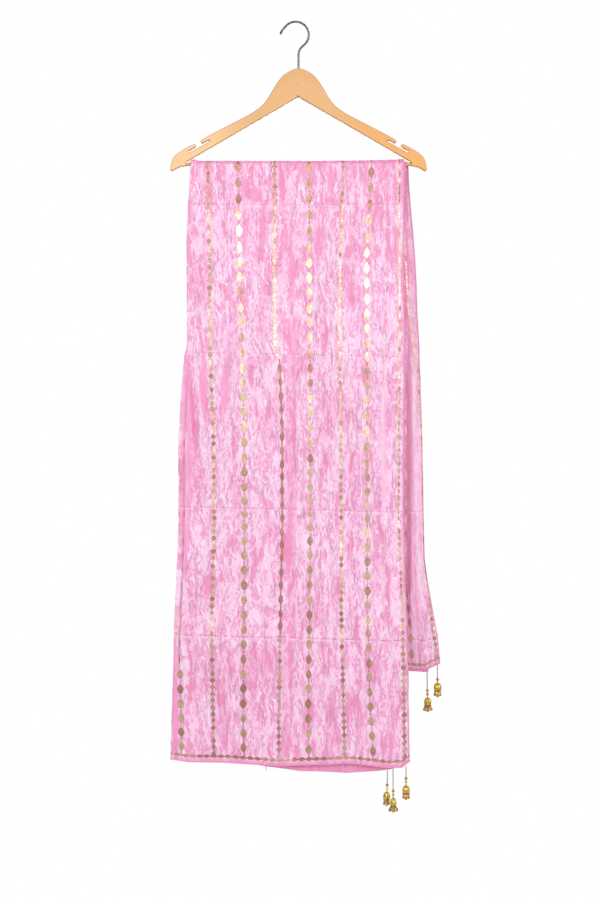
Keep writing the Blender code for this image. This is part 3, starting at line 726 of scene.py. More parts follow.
# ---- Cloth material ------------------------------------------------------------------------------
SATIN = (0.900, 0.335, 0.610)
# painted shade: the deeper pink of the crush's hollows, its low places and broad patches
SATIN_DEEP = (0.795, 0.238, 0.450)
# painted shade: the hot pink of the deepest facets, as where the back layer lies in the front's
# shade; the turned-up corner takes it too
SATIN_HOT = (1.000, 0.190, 0.480)
# painted highlight: the satin's sheen on the crush's ridges, lighter facets and raised places
SATIN_SHEEN = (0.980, 0.650, 0.850)
# painted shade: the dark line in each crease across the cloth and along the top edge over the bar
CREASE_SHADE = (0.780, 0.220, 0.430)
# painted shade: the mauve marks beside the crush's ridges; also laid a little over the foot
SATIN_SHADE = (0.690, 0.245, 0.460)
TOP_DEEP = (-0.620, -0.270)      # the satin is a little deeper towards both ends
FOOT_DEEP = (-1.060, -1.130)
WRONG_SIDE = (0.800, 0.230, 0.450)
FOIL = (0.435, 0.205, 0.172)
FOIL_BRIGHT = (0.880, 0.665, 0.450)
# painted highlight: the near-white glint of the foil where lit is highest
FOIL_GLINT = (1.000, 0.930, 0.720)
EDGE_CHAIN = 0.0200           # the chain nearer the selvedge is thinner above these levels
THIN_LEVELS = (-1.060, -1.000)
LAST_CHAIN_LEVELS = (-0.655, -0.675)
LEAF_HALF_WIDTH = 0.0056
LEAF_HALF_LENGTH = 0.0099
LEAF_FULLNESS = 1.8
DOT_HALF = 0.0042
DOT_FULLNESS = 1.4
DOT_PITCH = 0.0117
LINK_RADIUS = 0.0012
BEAD_DOT = 0.0015             # half size of the dots between the small motifs
BORDER_ABOVE_HEM = 0.0105
BORDER_PITCH = 0.0127
BORDER_HALF = 0.0036
BORDER_BAND = 0.0023          # half width of the border where the foil runs on unbroken
PRINT_SOFT = 0.0004           # softness of the foil's edges
CHAIN_STEP = 0.0557           # about the distance between neighbouring chains
LONG_CHAIN = 0.2262           # the small chain with longer leaves, and where it has them
LONG_MIDDLE = 0.4600
LONG_REACH = 0.2400
LONG_HALF_LENGTH = 0.0102
LONG_LINK = 0.0011            # half width of the line between them
# Painted crease lines: a painted shade line at each level and a painted highlight line just below
# it.
CREASE_LINES = (
    # level, slope, strength
    (-0.3160, 0.00, 0.45),
    (-0.5770, 0.02, 0.35),
    (-0.8440, 0.024, 0.55),
    (-1.0660, 0.027, 0.85),
)
# The finest crush, which only the surface shows: across, along, height.
FINE_CRUSH = ((0.0062, 0.0310, 0.00100), (0.0038, 0.0135, 0.00060))
LINE_EDGE = (0.42, 0.26)      # where the sides of its ridges begin and end


def nearest(nodes, value, places):
    """Distance from the nearest of some places."""
    return nodes.least(*(abs(value - place) for place in places))


def repeat(value, start, pitch):
    """Distance from the nearest of a row of places a pitch apart."""
    return abs((value - start + pitch / 2) % pitch - pitch / 2)


def leaf(nodes, across, along, half_width, half_length, power):
    """1 inside a leaf with pointed ends, 0 outside."""
    share = nodes.least(along / half_length, 1.0)
    return nodes.ramp(half_width * (1.0 - share ** power) - across, -PRINT_SOFT / 2, PRINT_SOFT)


def disc(nodes, across, along, radius):
    """1 inside a disc, 0 outside."""
    gap = nodes.math("SQRT", across * across + along * along)
    return nodes.ramp(radius - gap, -PRINT_SOFT, PRINT_SOFT)


def row_of_motifs(nodes, along, chain, pitch, jitter, seed):
    """Signed distance along from the nearest motif of a row, and two random values of its own."""
    place = (along - (LEAF_START - pitch / 2)) / pitch
    number = nodes.math("FLOOR", place)
    noise = nodes.make("ShaderNodeTexWhiteNoise", "Color",
                       {"Vector": nodes.join(number, chain, seed)}, noise_dimensions="3D")
    shift, size, tone = nodes.split(noise, "ShaderNodeSeparateColor")
    return (place - number - 0.5) * pitch + (shift - 0.5) * jitter, size, tone


def foil_print(nodes, across, along):
    """The foil print: its mask, the tone of each motif with the painted highlight from lit, and
    each motif's lean.
    """
    chain = nodes.math("ROUND", across / CHAIN_STEP)
    level, drift, lit, plain = (nodes.mark(key) for key in ("level", "drift", "lit", "plain"))
    leaf_gap = nearest(nodes, across, LEAF_CHAINS)
    leaf_local, leaf_size, leaf_tone = row_of_motifs(nodes, along + drift, chain, LEAF_PITCH,
                                                     0.0012, 1.0)
    leaf_along = abs(leaf_local)
    leaf_width = nodes.ramp(leaf_size, 0.0, 1.0, LEAF_HALF_WIDTH * 0.92, LEAF_HALF_WIDTH * 1.06)
    leaves = leaf(nodes, leaf_gap, leaf_along, leaf_width, LEAF_HALF_LENGTH, LEAF_FULLNESS)
    links = disc(nodes, leaf_gap, abs(LEAF_PITCH / 2 - leaf_along - 0.0015), LINK_RADIUS)

    dot_gap = nearest(nodes, across, SMALL_CHAINS)
    dot_local, dot_size, dot_tone = row_of_motifs(nodes, along, chain, DOT_PITCH, 0.0022, 2.0)
    dot_along = abs(dot_local)
    thin = nodes.math("LESS_THAN", across, EDGE_CHAIN) * nodes.ramp(level, *THIN_LEVELS, 0.0, 0.38)
    dot_width = nodes.ramp(dot_size, 0.0, 1.0, DOT_HALF * 0.80, DOT_HALF * 1.12) * (1.0 - thin)
    dots = leaf(nodes, dot_gap, dot_along, dot_width, DOT_HALF * 1.22, DOT_FULLNESS)
    beads = disc(nodes, dot_gap, DOT_PITCH / 2 - dot_along, BEAD_DOT)
    # One small chain carries longer leaves through its middle panels.
    long_local, long_size, long_tone = row_of_motifs(nodes, along, chain, DOT_PITCH * 2,
                                                     0.0030, 3.0)
    long_width = nodes.ramp(long_size, 0.0, 1.0, DOT_HALF * 0.80, DOT_HALF * 0.98)
    longer = leaf(nodes, dot_gap, abs(long_local), long_width, LONG_HALF_LENGTH, LEAF_FULLNESS)
    line = nodes.ramp(dot_gap, LONG_LINK + PRINT_SOFT, LONG_LINK)
    here = (nodes.math("LESS_THAN", abs(across - LONG_CHAIN), 0.0200)
            * nodes.math("LESS_THAN", abs(along - LONG_MIDDLE), LONG_REACH))
    smalls = nodes.most(dots, beads) * (1.0 - here) + nodes.most(longer, line) * here

    above = nodes.ramp(along, BORDER_ABOVE_HEM + 0.001, BORDER_ABOVE_HEM + 0.002)
    chains = above * nodes.most(leaves, links, smalls)
    border_gap = abs(along - BORDER_ABOVE_HEM)
    border_along = repeat(across, SMALL_CHAINS[0], BORDER_PITCH)
    band = nodes.ramp(plain, 0.50, 0.54) * nodes.ramp(
        border_gap, BORDER_BAND + PRINT_SOFT, BORDER_BAND - PRINT_SOFT)
    border = nodes.most(
        leaf(nodes, border_gap, border_along, BORDER_HALF, BORDER_PITCH * 0.48, 2.0),
        disc(nodes, border_gap, BORDER_PITCH / 2 - border_along, LINK_RADIUS * 1.3), band)
    last = nodes.math("GREATER_THAN", across, (SMALL_CHAINS[-1] + LEAF_CHAINS[-1]) / 2)
    mask = nodes.most(chains, border) * (
        1.0 - last * nodes.ramp(level, LAST_CHAIN_LEVELS[1], LAST_CHAIN_LEVELS[0]))

    near_leaf = nodes.math("LESS_THAN", leaf_gap, dot_gap)
    # each motif's tone mixes its own random tone with the painted highlight from lit
    leaf_tone = (leaf_tone * 0.42 + lit * 0.50) * (1.0 - links)
    core = leaf(nodes, dot_gap, dot_along, DOT_HALF * 0.42, DOT_HALF * 0.60, DOT_FULLNESS)
    dot_tone = nodes.most(dot_tone * 0.48 + lit * 0.32 + core * 0.12,
                          beads * nodes.ramp(lit, 0.0, 0.24, 0.05, 0.80))
    # The longer leaves have worn to plain copper.
    dot_tone = dot_tone * (1.0 - here) + long_tone * 0.16 * here
    tone = leaf_tone * near_leaf + dot_tone * (1.0 - near_leaf)
    lean = (leaf_local * (leaf_size - 0.5) * (near_leaf * 0.10)
            + dot_local * (dot_size - 0.5) * ((1.0 - near_leaf - here) * 0.28))
    return mask, tone, lean


def fine_crush(nodes, uv):
    """The finest crush: its height in metres, ridge lines and lighter facets for the painted sheen,
    deep facets and marks for the painted shade.
    """
    across, along, _ = nodes.split(uv)
    drift = nodes.noise(uv, (0.018, 0.050), 1.0)
    jag = nodes.noise(uv, (0.0046, 0.0062), 1.0)
    bent = nodes.join(across + drift * 0.014 + jag * 0.0050, along)
    height, lines = 0.0, []
    for cell_across, cell_along, peak in FINE_CRUSH:
        wave = nodes.noise(bent, (cell_across, cell_along), 0.0, 0.3) - 0.5
        fall_off = nodes.least(abs(wave) * 5.0, 1.0)
        height += fall_off * -peak
        lines.append(nodes.ramp(fall_off, *LINE_EDGE))
    coast = nodes.noise(bent, (0.0072, 0.0340), 3.0)
    # painted sheen on the lighter side of the coast
    pale = nodes.ramp(coast, 0.510, 0.535)
    # painted shade marks in a band just below the coast, and deep patches of painted shade
    marks = nodes.ramp(coast, 0.450, 0.475) * nodes.ramp(coast, 0.510, 0.490)
    deep = nodes.ramp(nodes.noise(bent, (0.0110, 0.0700), 2.0, 0.2), 0.590, 0.630)
    return height + coast * 0.0016, lines, pale, deep, marks


def packed_creases(nodes, across):
    """The lines that the packet pressed across the cloth: a painted shade line at each, and a
    painted highlight line below it.
    """
    line = nodes.join(across)
    level = nodes.mark("level") + (nodes.noise(line, (0.022,)) - 0.5) * 0.0060
    broken = nodes.ramp(nodes.noise(line, (0.011,)), 0.38, 0.56)
    dark = light = 0.0
    for crease, slope, strength in CREASE_LINES:
        gap = level - (crease + (across - 0.20) * slope)
        dark += nodes.ramp(abs(gap), 0.0021, 0.0003, 0.0, strength)
        light += nodes.ramp(abs(gap + 0.0030), 0.0022, 0.0003, 0.0, strength)
    return dark * broken, light * broken


def satin(name, printed):
    """Crushed satin, with the foil print on its right side."""
    nodes = Nodes(name)
    uv = nodes.make("ShaderNodeUVMap", 0, uv_map="Cut")
    across, along, _ = nodes.split(uv)
    raised, tint, level, plain = (nodes.mark(key) for key in ("crush", "tint", "level", "plain"))
    fine, lines, facets, hollows, marks = fine_crush(nodes, uv)
    dark_crease, light_crease = packed_creases(nodes, across)
    patch = nodes.noise(uv, (0.024, 0.080), 2.0, 0.4)
    weave = nodes.noise(uv, (0.0002, 0.0035), 1.0)
    broad = nodes.noise(uv, (0.026, 0.110), 1.0)

    ends = nodes.ramp(level, *TOP_DEEP, 0.0, 0.20) + nodes.ramp(level, *FOOT_DEEP, 0.0, 0.10)
    # painted shade: the fine crush's deep facets, the crush's low places and broad patches; the
    # facets' tint and both ends deepen it too
    deep = (hollows * 0.60 + nodes.ramp(raised, -0.20, -0.90, 0.0, 0.35)
            + nodes.ramp(broad, 0.50, 0.64, 0.0, 0.26))
    deep = nodes.ramp(deep + tint + ends, 0.0, 1.0)
    quiet = 1.0 - nodes.most(plain, nodes.ramp(deep, 0.25, 0.70) * 0.80)
    # painted sheen: ridge lines, lighter facets and the crush's raised places, lightened in colour
    ridges = nodes.most(lines[0] * nodes.ramp(patch, 0.34, 0.50, 0.2, 1.0),
                        lines[1] * nodes.ramp(patch, 0.60, 0.46, 0.0, 0.8))
    pale = (nodes.most(ridges, facets * 0.72) * quiet + nodes.ramp(raised, 0.10, 0.80, 0.0, 0.20)
            - (tint * 0.9 + ends) - nodes.ramp(broad, 0.48, 0.64, -0.06, 0.34))
    pale = nodes.least(nodes.most(pale, 0.0), 1.0)
    colour = nodes.layers(
        nodes.mix(deep, SATIN if printed else WRONG_SIDE, SATIN_DEEP),
        (nodes.ramp(tint, 0.65, 1.0), SATIN_HOT),
        (pale * (1.0 if printed else 0.35), SATIN_SHEEN),
        # painted shade marks beside the ridges, and the foot a little darker
        (marks * quiet * nodes.ramp(patch, 0.48, 0.60, 0.0, 0.55), SATIN_SHADE),
        (nodes.ramp(level, *FOOT_DEEP, 0.0, 0.07), SATIN_SHADE),
        # painted shade along the top edge, where the cloth turns over the bar
        (nodes.ramp(level, FALL_TOP, FALL_TOP + 0.001, 0.0, 0.55), CREASE_SHADE),
        (dark_crease, CREASE_SHADE),
        (light_crease * 0.80, SATIN_SHEEN))
    normal = nodes.bump(fine * quiet + (light_crease - dark_crease) * 0.0005, 1.0)
    normal = nodes.bump(weave, 0.00004, 0.5, normal)
    if printed:
        folded = nodes.least(across, CLOTH_WIDTH - across)
        mask, tone, lean = foil_print(nodes, folded, along)
        worn = nodes.noise(uv, (0.0014, 0.0020), 4.0)
        mask = mask * nodes.ramp(worn, 0.26, 0.36)
        blotch = nodes.noise(uv, (0.006, 0.009))
        # the foil's gold grows brighter with its tone and the painted highlight, and turns to a
        # painted glint where lit is highest
        gold = nodes.mix(nodes.ramp(tone + blotch * 0.5, 0.25, 1.10), FOIL, FOIL_BRIGHT)
        glint = nodes.ramp(nodes.mark("lit"), 1.05, 1.60) * nodes.ramp(tone, 0.40, 0.75)
        colour = nodes.mix(mask, colour, nodes.mix(glint, gold, FOIL_GLINT))
        sway = nodes.noise(uv, (0.070, 0.085), 1.0)
        calm = nodes.bump(nodes.noise(uv, (0.004, 0.008), 1.0), 0.0005, 0.6,
                          nodes.bump(sway * 0.0050 + lean, 1.0))
        normal = nodes.mix(mask, normal, calm, "VECTOR")
        dull = nodes.ramp(worn, 0.35, 0.70, 0.26, 0.40) + plain * 0.25
        nodes.set(Metallic=mask * 0.85, Roughness=(1.0 - mask) * 0.36 + mask * dull)
    else:
        nodes.set(Roughness=0.42)
    return nodes.set(Base_Color=colour, Normal=normal, Specular_IOR_Level=0.90, Sheen_Weight=0.20,
                     Sheen_Roughness=0.35, Sheen_Tint=(1.0, 0.80, 0.92, 1.0))


# ---- Making pieces -------------------------------------------------------------------------------
def placed(name, data):
    """A new object in the scene."""
    obj = bpy.data.objects.new(name, data)
    bpy.context.scene.collection.objects.link(obj)
    return obj


def put(name, mesh_data, *materials):
    """Makes a piece of a finished bmesh."""
    bmesh.ops.recalc_face_normals(mesh_data, faces=mesh_data.faces)
    mesh = bpy.data.meshes.new(name)
    mesh_data.to_mesh(mesh)
    mesh_data.free()
    for material in materials:
        mesh.materials.append(material)
    return placed(name, mesh)


def write_mark(mesh, key, values):
    """Gives each point of a mesh a value."""
    attribute = mesh.attributes.new(key, "FLOAT", "POINT")
    attribute.data.foreach_set("value", values.reshape(-1).astype(np.float32))


def grid_mesh(name, points, uv, marks, flipped):
    """A mesh over a net of points, with its cut as UVs and its marks as attributes."""
    rows, columns = points.shape[:2]
    index = np.arange(rows * columns).reshape(rows, columns)
    corners = [index[:-1, :-1], index[:-1, 1:], index[1:, 1:], index[1:, :-1]]
    if flipped:
        corners.reverse()
    quads = np.stack(corners, axis=-1).reshape(-1, 4)
    mesh = bpy.data.meshes.new(name)
    mesh.from_pydata(points.reshape(-1, 3).tolist(), [], quads.tolist())
    layer = mesh.uv_layers.new(name="Cut")
    layer.data.foreach_set("uv", uv.reshape(-1, 2)[quads.reshape(-1)].reshape(-1))
    for key, values in marks.items():
        write_mark(mesh, key, values)
    mesh.shade_smooth()
    return placed(name, mesh)


def thicken(sheet, materials, shift):
    """Makes a sheet solid. Its other side takes the material that many slots further on."""
    for material in materials:
        sheet.data.materials.append(material)
    shell = sheet.modifiers.new("thickness", "SOLIDIFY")
    shell.thickness = THICKNESS
    shell.offset = -1.0
    shell.material_offset = shift


def circle(count, turn=0.0):
    """Angles evenly round a circle."""
    return [2 * math.pi * (k + turn) / count for k in range(count)]


def headings(path):
    """Each place of a path, and the direction that the path takes there."""
    last = len(path) - 1
    return [(place, (path[min(i + 1, last)] - path[max(i - 1, 0)]).normalized())
            for i, place in enumerate(path)]


def skin(mesh_data, rings):
    """Faces from ring to ring of vertices, with both ends closed."""
    faces = [mesh_data.faces.new(rings[0]), mesh_data.faces.new(rings[-1][::-1])]
    for above, below in zip(rings, rings[1:]):
        for k in range(len(above)):
            n = (k + 1) % len(above)
            faces.append(mesh_data.faces.new((above[n], above[k], below[k], below[n])))
    return faces


def tube(mesh_data, path, radii, sides):
    """A tube along a path, with round caps, into a bmesh."""
    rows = [(place, ahead, radius) for (place, ahead), radius in zip(headings(path), radii)]

    def cap(row, way):
        place, ahead, radius = row
        return [(place + ahead * (way * radius) * share, ahead,
                 radius * math.sqrt(1 - share * share)) for share in CAP_RINGS]

    rings = []
    for place, ahead, radius in cap(rows[0], -1) + rows + cap(rows[-1], 1)[::-1]:
        out = ahead.cross(Vector((0.0, 1.0, 0.0))).normalized()
        up = out.cross(ahead)
        rings.append([mesh_data.verts.new(place + (out * math.cos(a) + up * math.sin(a)) * radius)
                      for a in circle(sides)])
    for face in skin(mesh_data, rings):
        face.smooth = True


def lathe(mesh_data, profile, sides, shape, index):
    """A turned form into a bmesh; shape gives the radius from (drop, radius, angle)."""
    rings = []
    for drop, radius in profile:
        reach = [(shape(drop, radius, a), a) for a in circle(sides)]
        rings.append([mesh_data.verts.new((out * math.cos(a), out * math.sin(a), -drop))
                      for out, a in reach])
    faces = skin(mesh_data, rings)
    for face in faces:
        face.material_index = index
    return faces


def ball(mesh_data, place, radius, index, squash=1.0, sides=12):
    """A small bead into a bmesh."""
    made = bmesh.ops.create_uvsphere(
        mesh_data, u_segments=sides, v_segments=8, radius=radius,
        matrix=Matrix.Translation(place) @ Matrix.Diagonal((1.0, 1.0, squash, 1.0)))
    for face in {face for vertex in made["verts"] for face in vertex.link_faces}:
        face.material_index = index
        face.smooth = True


# ---- Cloth mesh ----------------------------------------------------------------------------------
def cut_place(tracks, at, x, level):
    """How far across the cloth a place lies from its selvedge, from the chains' tracks."""
    levels = [-row[0] for row in tracks]
    across = np.empty_like(x)
    for k in range(x.shape[0]):
        places = [np.interp(-level[k], levels, [row[1][i] for row in tracks])
                  for i in range(len(at))]
        known = np.interp(-x[k], [-p for p in places], at)
        known = np.where(x[k] > places[0], at[0] - (x[k] - places[0]), known)
        across[k] = np.where(x[k] < places[-1], at[-1] + (places[-1] - x[k]), known)
    return across


def edge_step(side, level):
    """How far the front steps back beside its lengthwise fold."""
    if side > 0:
        return 0 * level
    return EDGE_STEP * np.minimum(smooth(STEP_FROM - level, 0.0, STEP_RUN),
                                  smooth(level - STEP_TO, 0.0, STEP_RUN))


def foil_light(glints, across, level):
    """How much painted highlight the foil takes at a place."""
    lit = np.interp(level, *zip(*FOIL_LIT))
    for chain, middle, reach, strength in glints:
        inside = smooth(reach + 0.006 - np.abs(level - middle), 0.0, 0.012)
        lit = lit + GLINT_GAIN * strength * inside * bell(across, chain, GLINT_WIDTH)
    return np.maximum(lit, 0.0)


def leaf_drift(across, level):
    """How far the printed leaves lag at a place on the front."""
    chain, more = CHAIN_DRIFT
    beside = smooth(0.012 - np.abs(across - chain), 0.0, 0.004)
    return np.interp(level, *zip(*LEAF_DRIFT)) + np.interp(level, *zip(*more)) * beside


def calm_places(across, along, levels):
    """How freely the satin crushes: less at the chains, both sewn edges and the creases."""
    calm = 1 - 0.55 * smooth(0.012 - along, 0.0, 0.012)
    calm *= 1 - 0.6 * smooth(0.006 - across, 0.0, 0.006)
    for value, middles, (width, share) in ((across, LEAF_CHAINS, CALM_LEAF),
                                           (across, SMALL_CHAINS, CALM_SMALL),
                                           (levels, CREASES, CALM_CREASE)):
        for middle in middles:
            calm *= 1 - share * bell(value, middle, width)
    return calm


def fall(name):
    """One hanging stretch as a thin crushed shell, with its stretch over the bar."""
    (side, own, mate, selvedge_column, edges, folds, presses, facets, hem, tracks, at, columns,
     row_step, wraps, turn_radius, seed) = FALLS[name]
    bottom = sum(point[1] for point in hem) / len(hem)
    hang_levels = row_levels(bottom, row_step)
    bar_steps = TURN_STEPS if turn_radius else 0
    level = np.concatenate([np.full(bar_steps, FALL_TOP), hang_levels])
    turned = np.concatenate([math.pi * (1 - np.arange(bar_steps) / max(1, bar_steps)),
                             np.zeros(len(hang_levels))])
    hang = read(HANG, level, own)
    gap = np.abs(read(HANG, level, mate) - hang)
    step = edge_step(side, level)
    radius = (gap - step) / 2
    fold_x = read(edges, level, 1)
    turn_x = fold_x + THICKNESS + radius
    over = turned / math.pi
    selvedge = (read(edges, level, selvedge_column) * (1 - over)
                + BACK_EDGES[0][selvedge_column] * over)
    start = turn_x if wraps else turn_x + INNER_INSET

    share = np.arange(columns + 1) / columns
    x = selvedge[:, None] + (start - selvedge)[:, None] * share[None, :]
    levels = np.broadcast_to(level[:, None], x.shape)
    depth = hang[:, None] + fold_height(folds, x, levels, FOLD_RUN_OUT)
    across = cut_place(tracks, at, x, level)
    if wraps:
        from_step = fold_x[:, None] + STEP_PLACE - x
        past = smooth(from_step, -STEP_WIDTH / 2, STEP_WIDTH / 2)
        depth -= step[:, None] * past
        # The face of the step takes up cloth, which draws the last chain onto it.
        strength = step[:, None] / EDGE_STEP
        squeezed = LEAF_CHAINS[-1] + np.clip(from_step / STEP_WIDTH, -1.0, 1.0) * SQUEEZED
        spread = smooth(np.abs(from_step), 0.0120, 0.0030)
        across = across + (squeezed + (from_step - np.clip(from_step, -STEP_WIDTH, STEP_WIDTH))
                           - across) * strength * spread
    out_x, out_depth = np.zeros_like(x), np.ones_like(x)
    if wraps:
        # Round the lengthwise fold.
        around = math.pi * np.arange(1, WRAP_STEPS + 1)[None, :] / WRAP_STEPS
        lift = fold_height(folds, turn_x[:, None], level[:, None], FOLD_RUN_OUT)
        middle = (hang - step - radius)[:, None] + lift
        x = np.hstack([x, turn_x[:, None] - radius[:, None] * np.sin(around)])
        depth = np.hstack([depth, middle + radius[:, None] * np.cos(around)])
        across = np.hstack([across, across[:, -1:] + radius[:, None] * around])
        out_x = np.hstack([out_x, np.broadcast_to(-np.sin(around), (len(level), WRAP_STEPS))])
        out_depth = np.hstack([out_depth,
                               np.broadcast_to(np.cos(around), (len(level), WRAP_STEPS))])
        levels = np.broadcast_to(level[:, None], x.shape)

    above_hem = (hang_levels[0] - bottom) + turned * (turn_radius or 0.0)
    along = np.where(turned > 0, above_hem, level - bottom)[:, None] + 0 * x
    follow = smooth(bottom + HEM_BLEND - level, 0.0, HEM_BLEND)[:, None]
    hem_x, hem_z = zip(*hem)
    drop = (np.interp(np.minimum(x, selvedge[:, None]), hem_x, hem_z) - bottom) * follow

    room = np.minimum(CRUSH_HEIGHT, CRUSH_ROOM * gap)[:, None] * np.ones_like(x)
    crushed = crush(across, along, seed)
    tint, plain = plain_facets(facets, x, levels)
    tint, plain = tint * (turned[:, None] <= 0), plain * (turned[:, None] <= 0)
    plain = np.maximum(plain, 0.7 * smooth(HEM_WIDTH + 0.002 - along, 0.0, 0.002))
    raised = room * crushed * calm_places(across, along, levels) * (1 - 0.8 * plain)
    raised += fold_height(presses, x, levels, PRESS_RUN_OUT) * np.minimum(1.0, room / 0.0010)
    for crease in CREASES:
        wander = crease + 0.0030 * (speckle(across, along * 0, 0.030, 1.0, seed + 7) - 0.5)
        strength = 0.3 + 0.7 * speckle(across, along * 0, 0.022, 1.0, seed + 8)
        raised += CREASE_HEIGHT * room * strength * bell(levels, wander, CREASE_WIDTH)
    raised += HEM_RISE * smooth(HEM_WIDTH - along, 0.0, HEM_STEP)
    hem_wave = speckle(across, along * 0, 0.034, 1.0, seed + 9) - 0.5
    raised += (HEM_WAVE * hem_wave * smooth(0.05 - along, 0.0, 0.05)
               * np.minimum(1, gap / 0.004)[:, None])
    edge_wave = speckle(along, across * 0, 0.028, 1.0, seed + 10) - 0.5
    raised += 1.1 * room * edge_wave * smooth(0.020 - across, 0.0, 0.020)
    x = x + out_x * raised + EDGE_WAVE * edge_wave * smooth(0.012 - across, 0.0, 0.012)
    depth = depth + out_depth * raised

    turned = turned[:, None] + 0 * x
    y = np.where(turned > 0, -depth * np.cos(turned), side * depth)
    rise = 0 * x
    if turn_radius == OUTER_TURN:
        rise = np.interp(x, *zip(*TOP_RISE)) * np.sin(turned)
    z = np.where(turned > 0, BAR_LEVEL + depth * np.sin(turned), levels) + drop + rise
    points = np.stack([x, y, z], axis=-1)
    if side > 0:
        along = along * BACK_STRETCH
    obj = grid_mesh(f"cloth_{name}", points, np.stack([across, along], axis=-1),
                    {"crush": crushed, "tint": tint, "plain": plain,
                     "level": np.where(turned > 0, 0.0, levels),
                     "drift": leaf_drift(across, levels) * (side < 0),
                     "lit": foil_light(BACK_GLINTS if side > 0 else GLINTS, across, levels)},
                    flipped=(side < 0) != wraps)
    return obj, points, across, along


def edge_roll(mesh_data, path, cut, away):
    """A rolled edge along a run of points; away points off the cloth."""
    layer = mesh_data.loops.layers.uv.verify()
    rings, spots = [], {}
    for (place, ahead), spot in zip(headings(path), cut):
        face = ahead.cross(away).normalized()
        off = face.cross(ahead)
        centre = place - off * ROLL_WIDTH * 0.6
        rings.append([mesh_data.verts.new(centre + off * ROLL_WIDTH * math.cos(a)
                                          + face * ROLL_DEPTH * math.sin(a))
                      for a in circle(EDGE_SIDES)])
        spots.update((vertex, spot) for vertex in rings[-1])
    for face in skin(mesh_data, rings):
        face.smooth = True
        for loop in face.loops:
            loop[layer].uv = spots[loop.vert]


def rolled_edges(name, points, across, along, material):
    """The rolled foot and selvedge of one stretch."""
    mesh_data = bmesh.new()
    mesh_data.loops.layers.uv.new("Cut")
    for run, away in ((np.s_[-1], (0.0, 0.0, -1.0)), (np.s_[:, 0], (1.0, 0.0, 0.0))):
        edge_roll(mesh_data, [Vector(p) for p in points[run]],
                  list(zip(across[run].tolist(), along[run].tolist())), Vector(away))
    piece = put(f"edge_{name}", mesh_data, material)
    write_mark(piece.data, "plain", np.ones(len(piece.data.vertices)))
    return piece


def hem_stitches(name, points, along, side, material):
    """The running stitches that hold one stretch's hem."""
    mesh_data = bmesh.new()
    line = []
    for k in range(FALLS[name].columns + 1):
        above_foot = along[-HEM_ROWS:, k]
        order = np.argsort(above_foot)
        line.append(between(STITCH_ABOVE, above_foot[order], points[-HEM_ROWS:, k][order]))
    run = [0.0]
    for a, b in zip(line, line[1:]):
        run.append(run[-1] + (b - a).length)
    out = Vector((0.0, side * STITCH_RADIUS * 0.6, 0.0))
    for number in range(1, int(run[-1] / STITCH_PITCH)):
        # A stitch's ends dip into the cloth.
        path = [between(number * STITCH_PITCH + share * STITCH_LENGTH, run, line) + out * lift
                for share, lift in ((-0.5, -0.6), (-0.2, 1.0), (0.2, 1.0), (0.5, -0.6))]
        tube(mesh_data, path, [STITCH_RADIUS] * 4, 6)
    return put(f"stitches_{name}", mesh_data, material)


def turned_corner(right, wrong):
    """The small flap at the front's lower right corner, its wrong side out."""
    first, second = (Vector((x, 0.0, z)) for x, z in FLAP_FOLD)
    tip = Vector((FLAP_TIP[0], 0.0, FLAP_TIP[1]))
    near = -float(read(HANG, -1.2900, 1))
    points = np.zeros((FLAP_STEPS + 1, FLAP_STEPS + 1, 3))
    for j in range(FLAP_STEPS + 1):
        t = j / FLAP_STEPS
        for i in range(FLAP_STEPS + 1):
            s = i / FLAP_STEPS
            place = (first.lerp(second, s)).lerp(tip, t ** 1.3)
            roll = 0.5 + 0.5 * float(smooth(t, -0.30, 0.30))
            lift = 0.0020 * roll + 0.0007 * math.sin(3.0 * s + 2.0 * t) * t
            points[j, i] = (place.x, near - lift - 0.0002, place.z)
    uv = np.stack(np.meshgrid(np.linspace(0.030, 0.048, FLAP_STEPS + 1),
                              np.linspace(0.040, 0.052, FLAP_STEPS + 1)), axis=-1)
    marks = dict.fromkeys(("plain", "tint"), np.ones(points.shape[:2]))
    obj = grid_mesh("flap_front_outer", points, uv, marks, flipped=True)
    thicken(obj, (wrong, right), 0)
    return obj


def thread_ends(material):
    """Loose thread ends at the pucker in the front's hem."""
    mesh_data = bmesh.new()
    near = -float(read(HANG, -1.2900, 1)) - 0.0012
    for x, level, drop, sway in THREAD_ENDS:
        path = [Vector((x + sway * math.sin(2.6 * share), near - 0.0010 * math.sin(3.0 * share),
                        level - drop * share)) for share in np.arange(13) / 12]
        tube(mesh_data, path, [THREAD_RADIUS] * 13, 7)
        ball(mesh_data, (x, near, level), KNOT_RADIUS, 0)
    return put("thread_ends", mesh_data, material)


def dress_cloth():
    """The four hanging stretches of the stole, each a list of its sheet and its finishing."""
    right, wrong = satin("satin_print", True), satin("satin_wrong_side", False)
    sewing = thread("hem_thread", SEWING_DARK, SEWING_LIGHT)
    carried = {"front_outer": ("front_outer", "turn_outer"),
               "front_inner": ("front_inner", "turn_inner"),
               "back_inner": ("back_inner",), "back_outer": ("back_outer",)}
    pieces = {}
    for name, nodes in carried.items():
        obj, points, across, along = fall(name)
        thicken(obj, (right, wrong), 1)
        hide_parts(*nodes)
        outward = FALLS[name].side if FALLS[name].wraps else -FALLS[name].side
        pieces[name] = [obj, rolled_edges(name, points, across, along, right),
                        hem_stitches(name, points, along, outward, sewing)]
    pieces["front_outer"] += [turned_corner(right, wrong), thread_ends(sewing)]
    for group in pieces.values():
        for piece in group:
            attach(piece, BODY)
    return pieces


# ---- Hanger --------------------------------------------------------------------------------------
def through(points, steps):
    """Catmull-Rom points from the second of four points to the third."""
    a, b, c, d = (Vector(p) for p in points)
    run = []
    for step in range(steps):
        t = step / steps
        run.append(0.5 * (2 * b + (c - a) * t + (2 * a - 5 * b + 4 * c - d) * t ** 2
                          + (3 * b - a - 3 * c + d) * t ** 3))
    return run


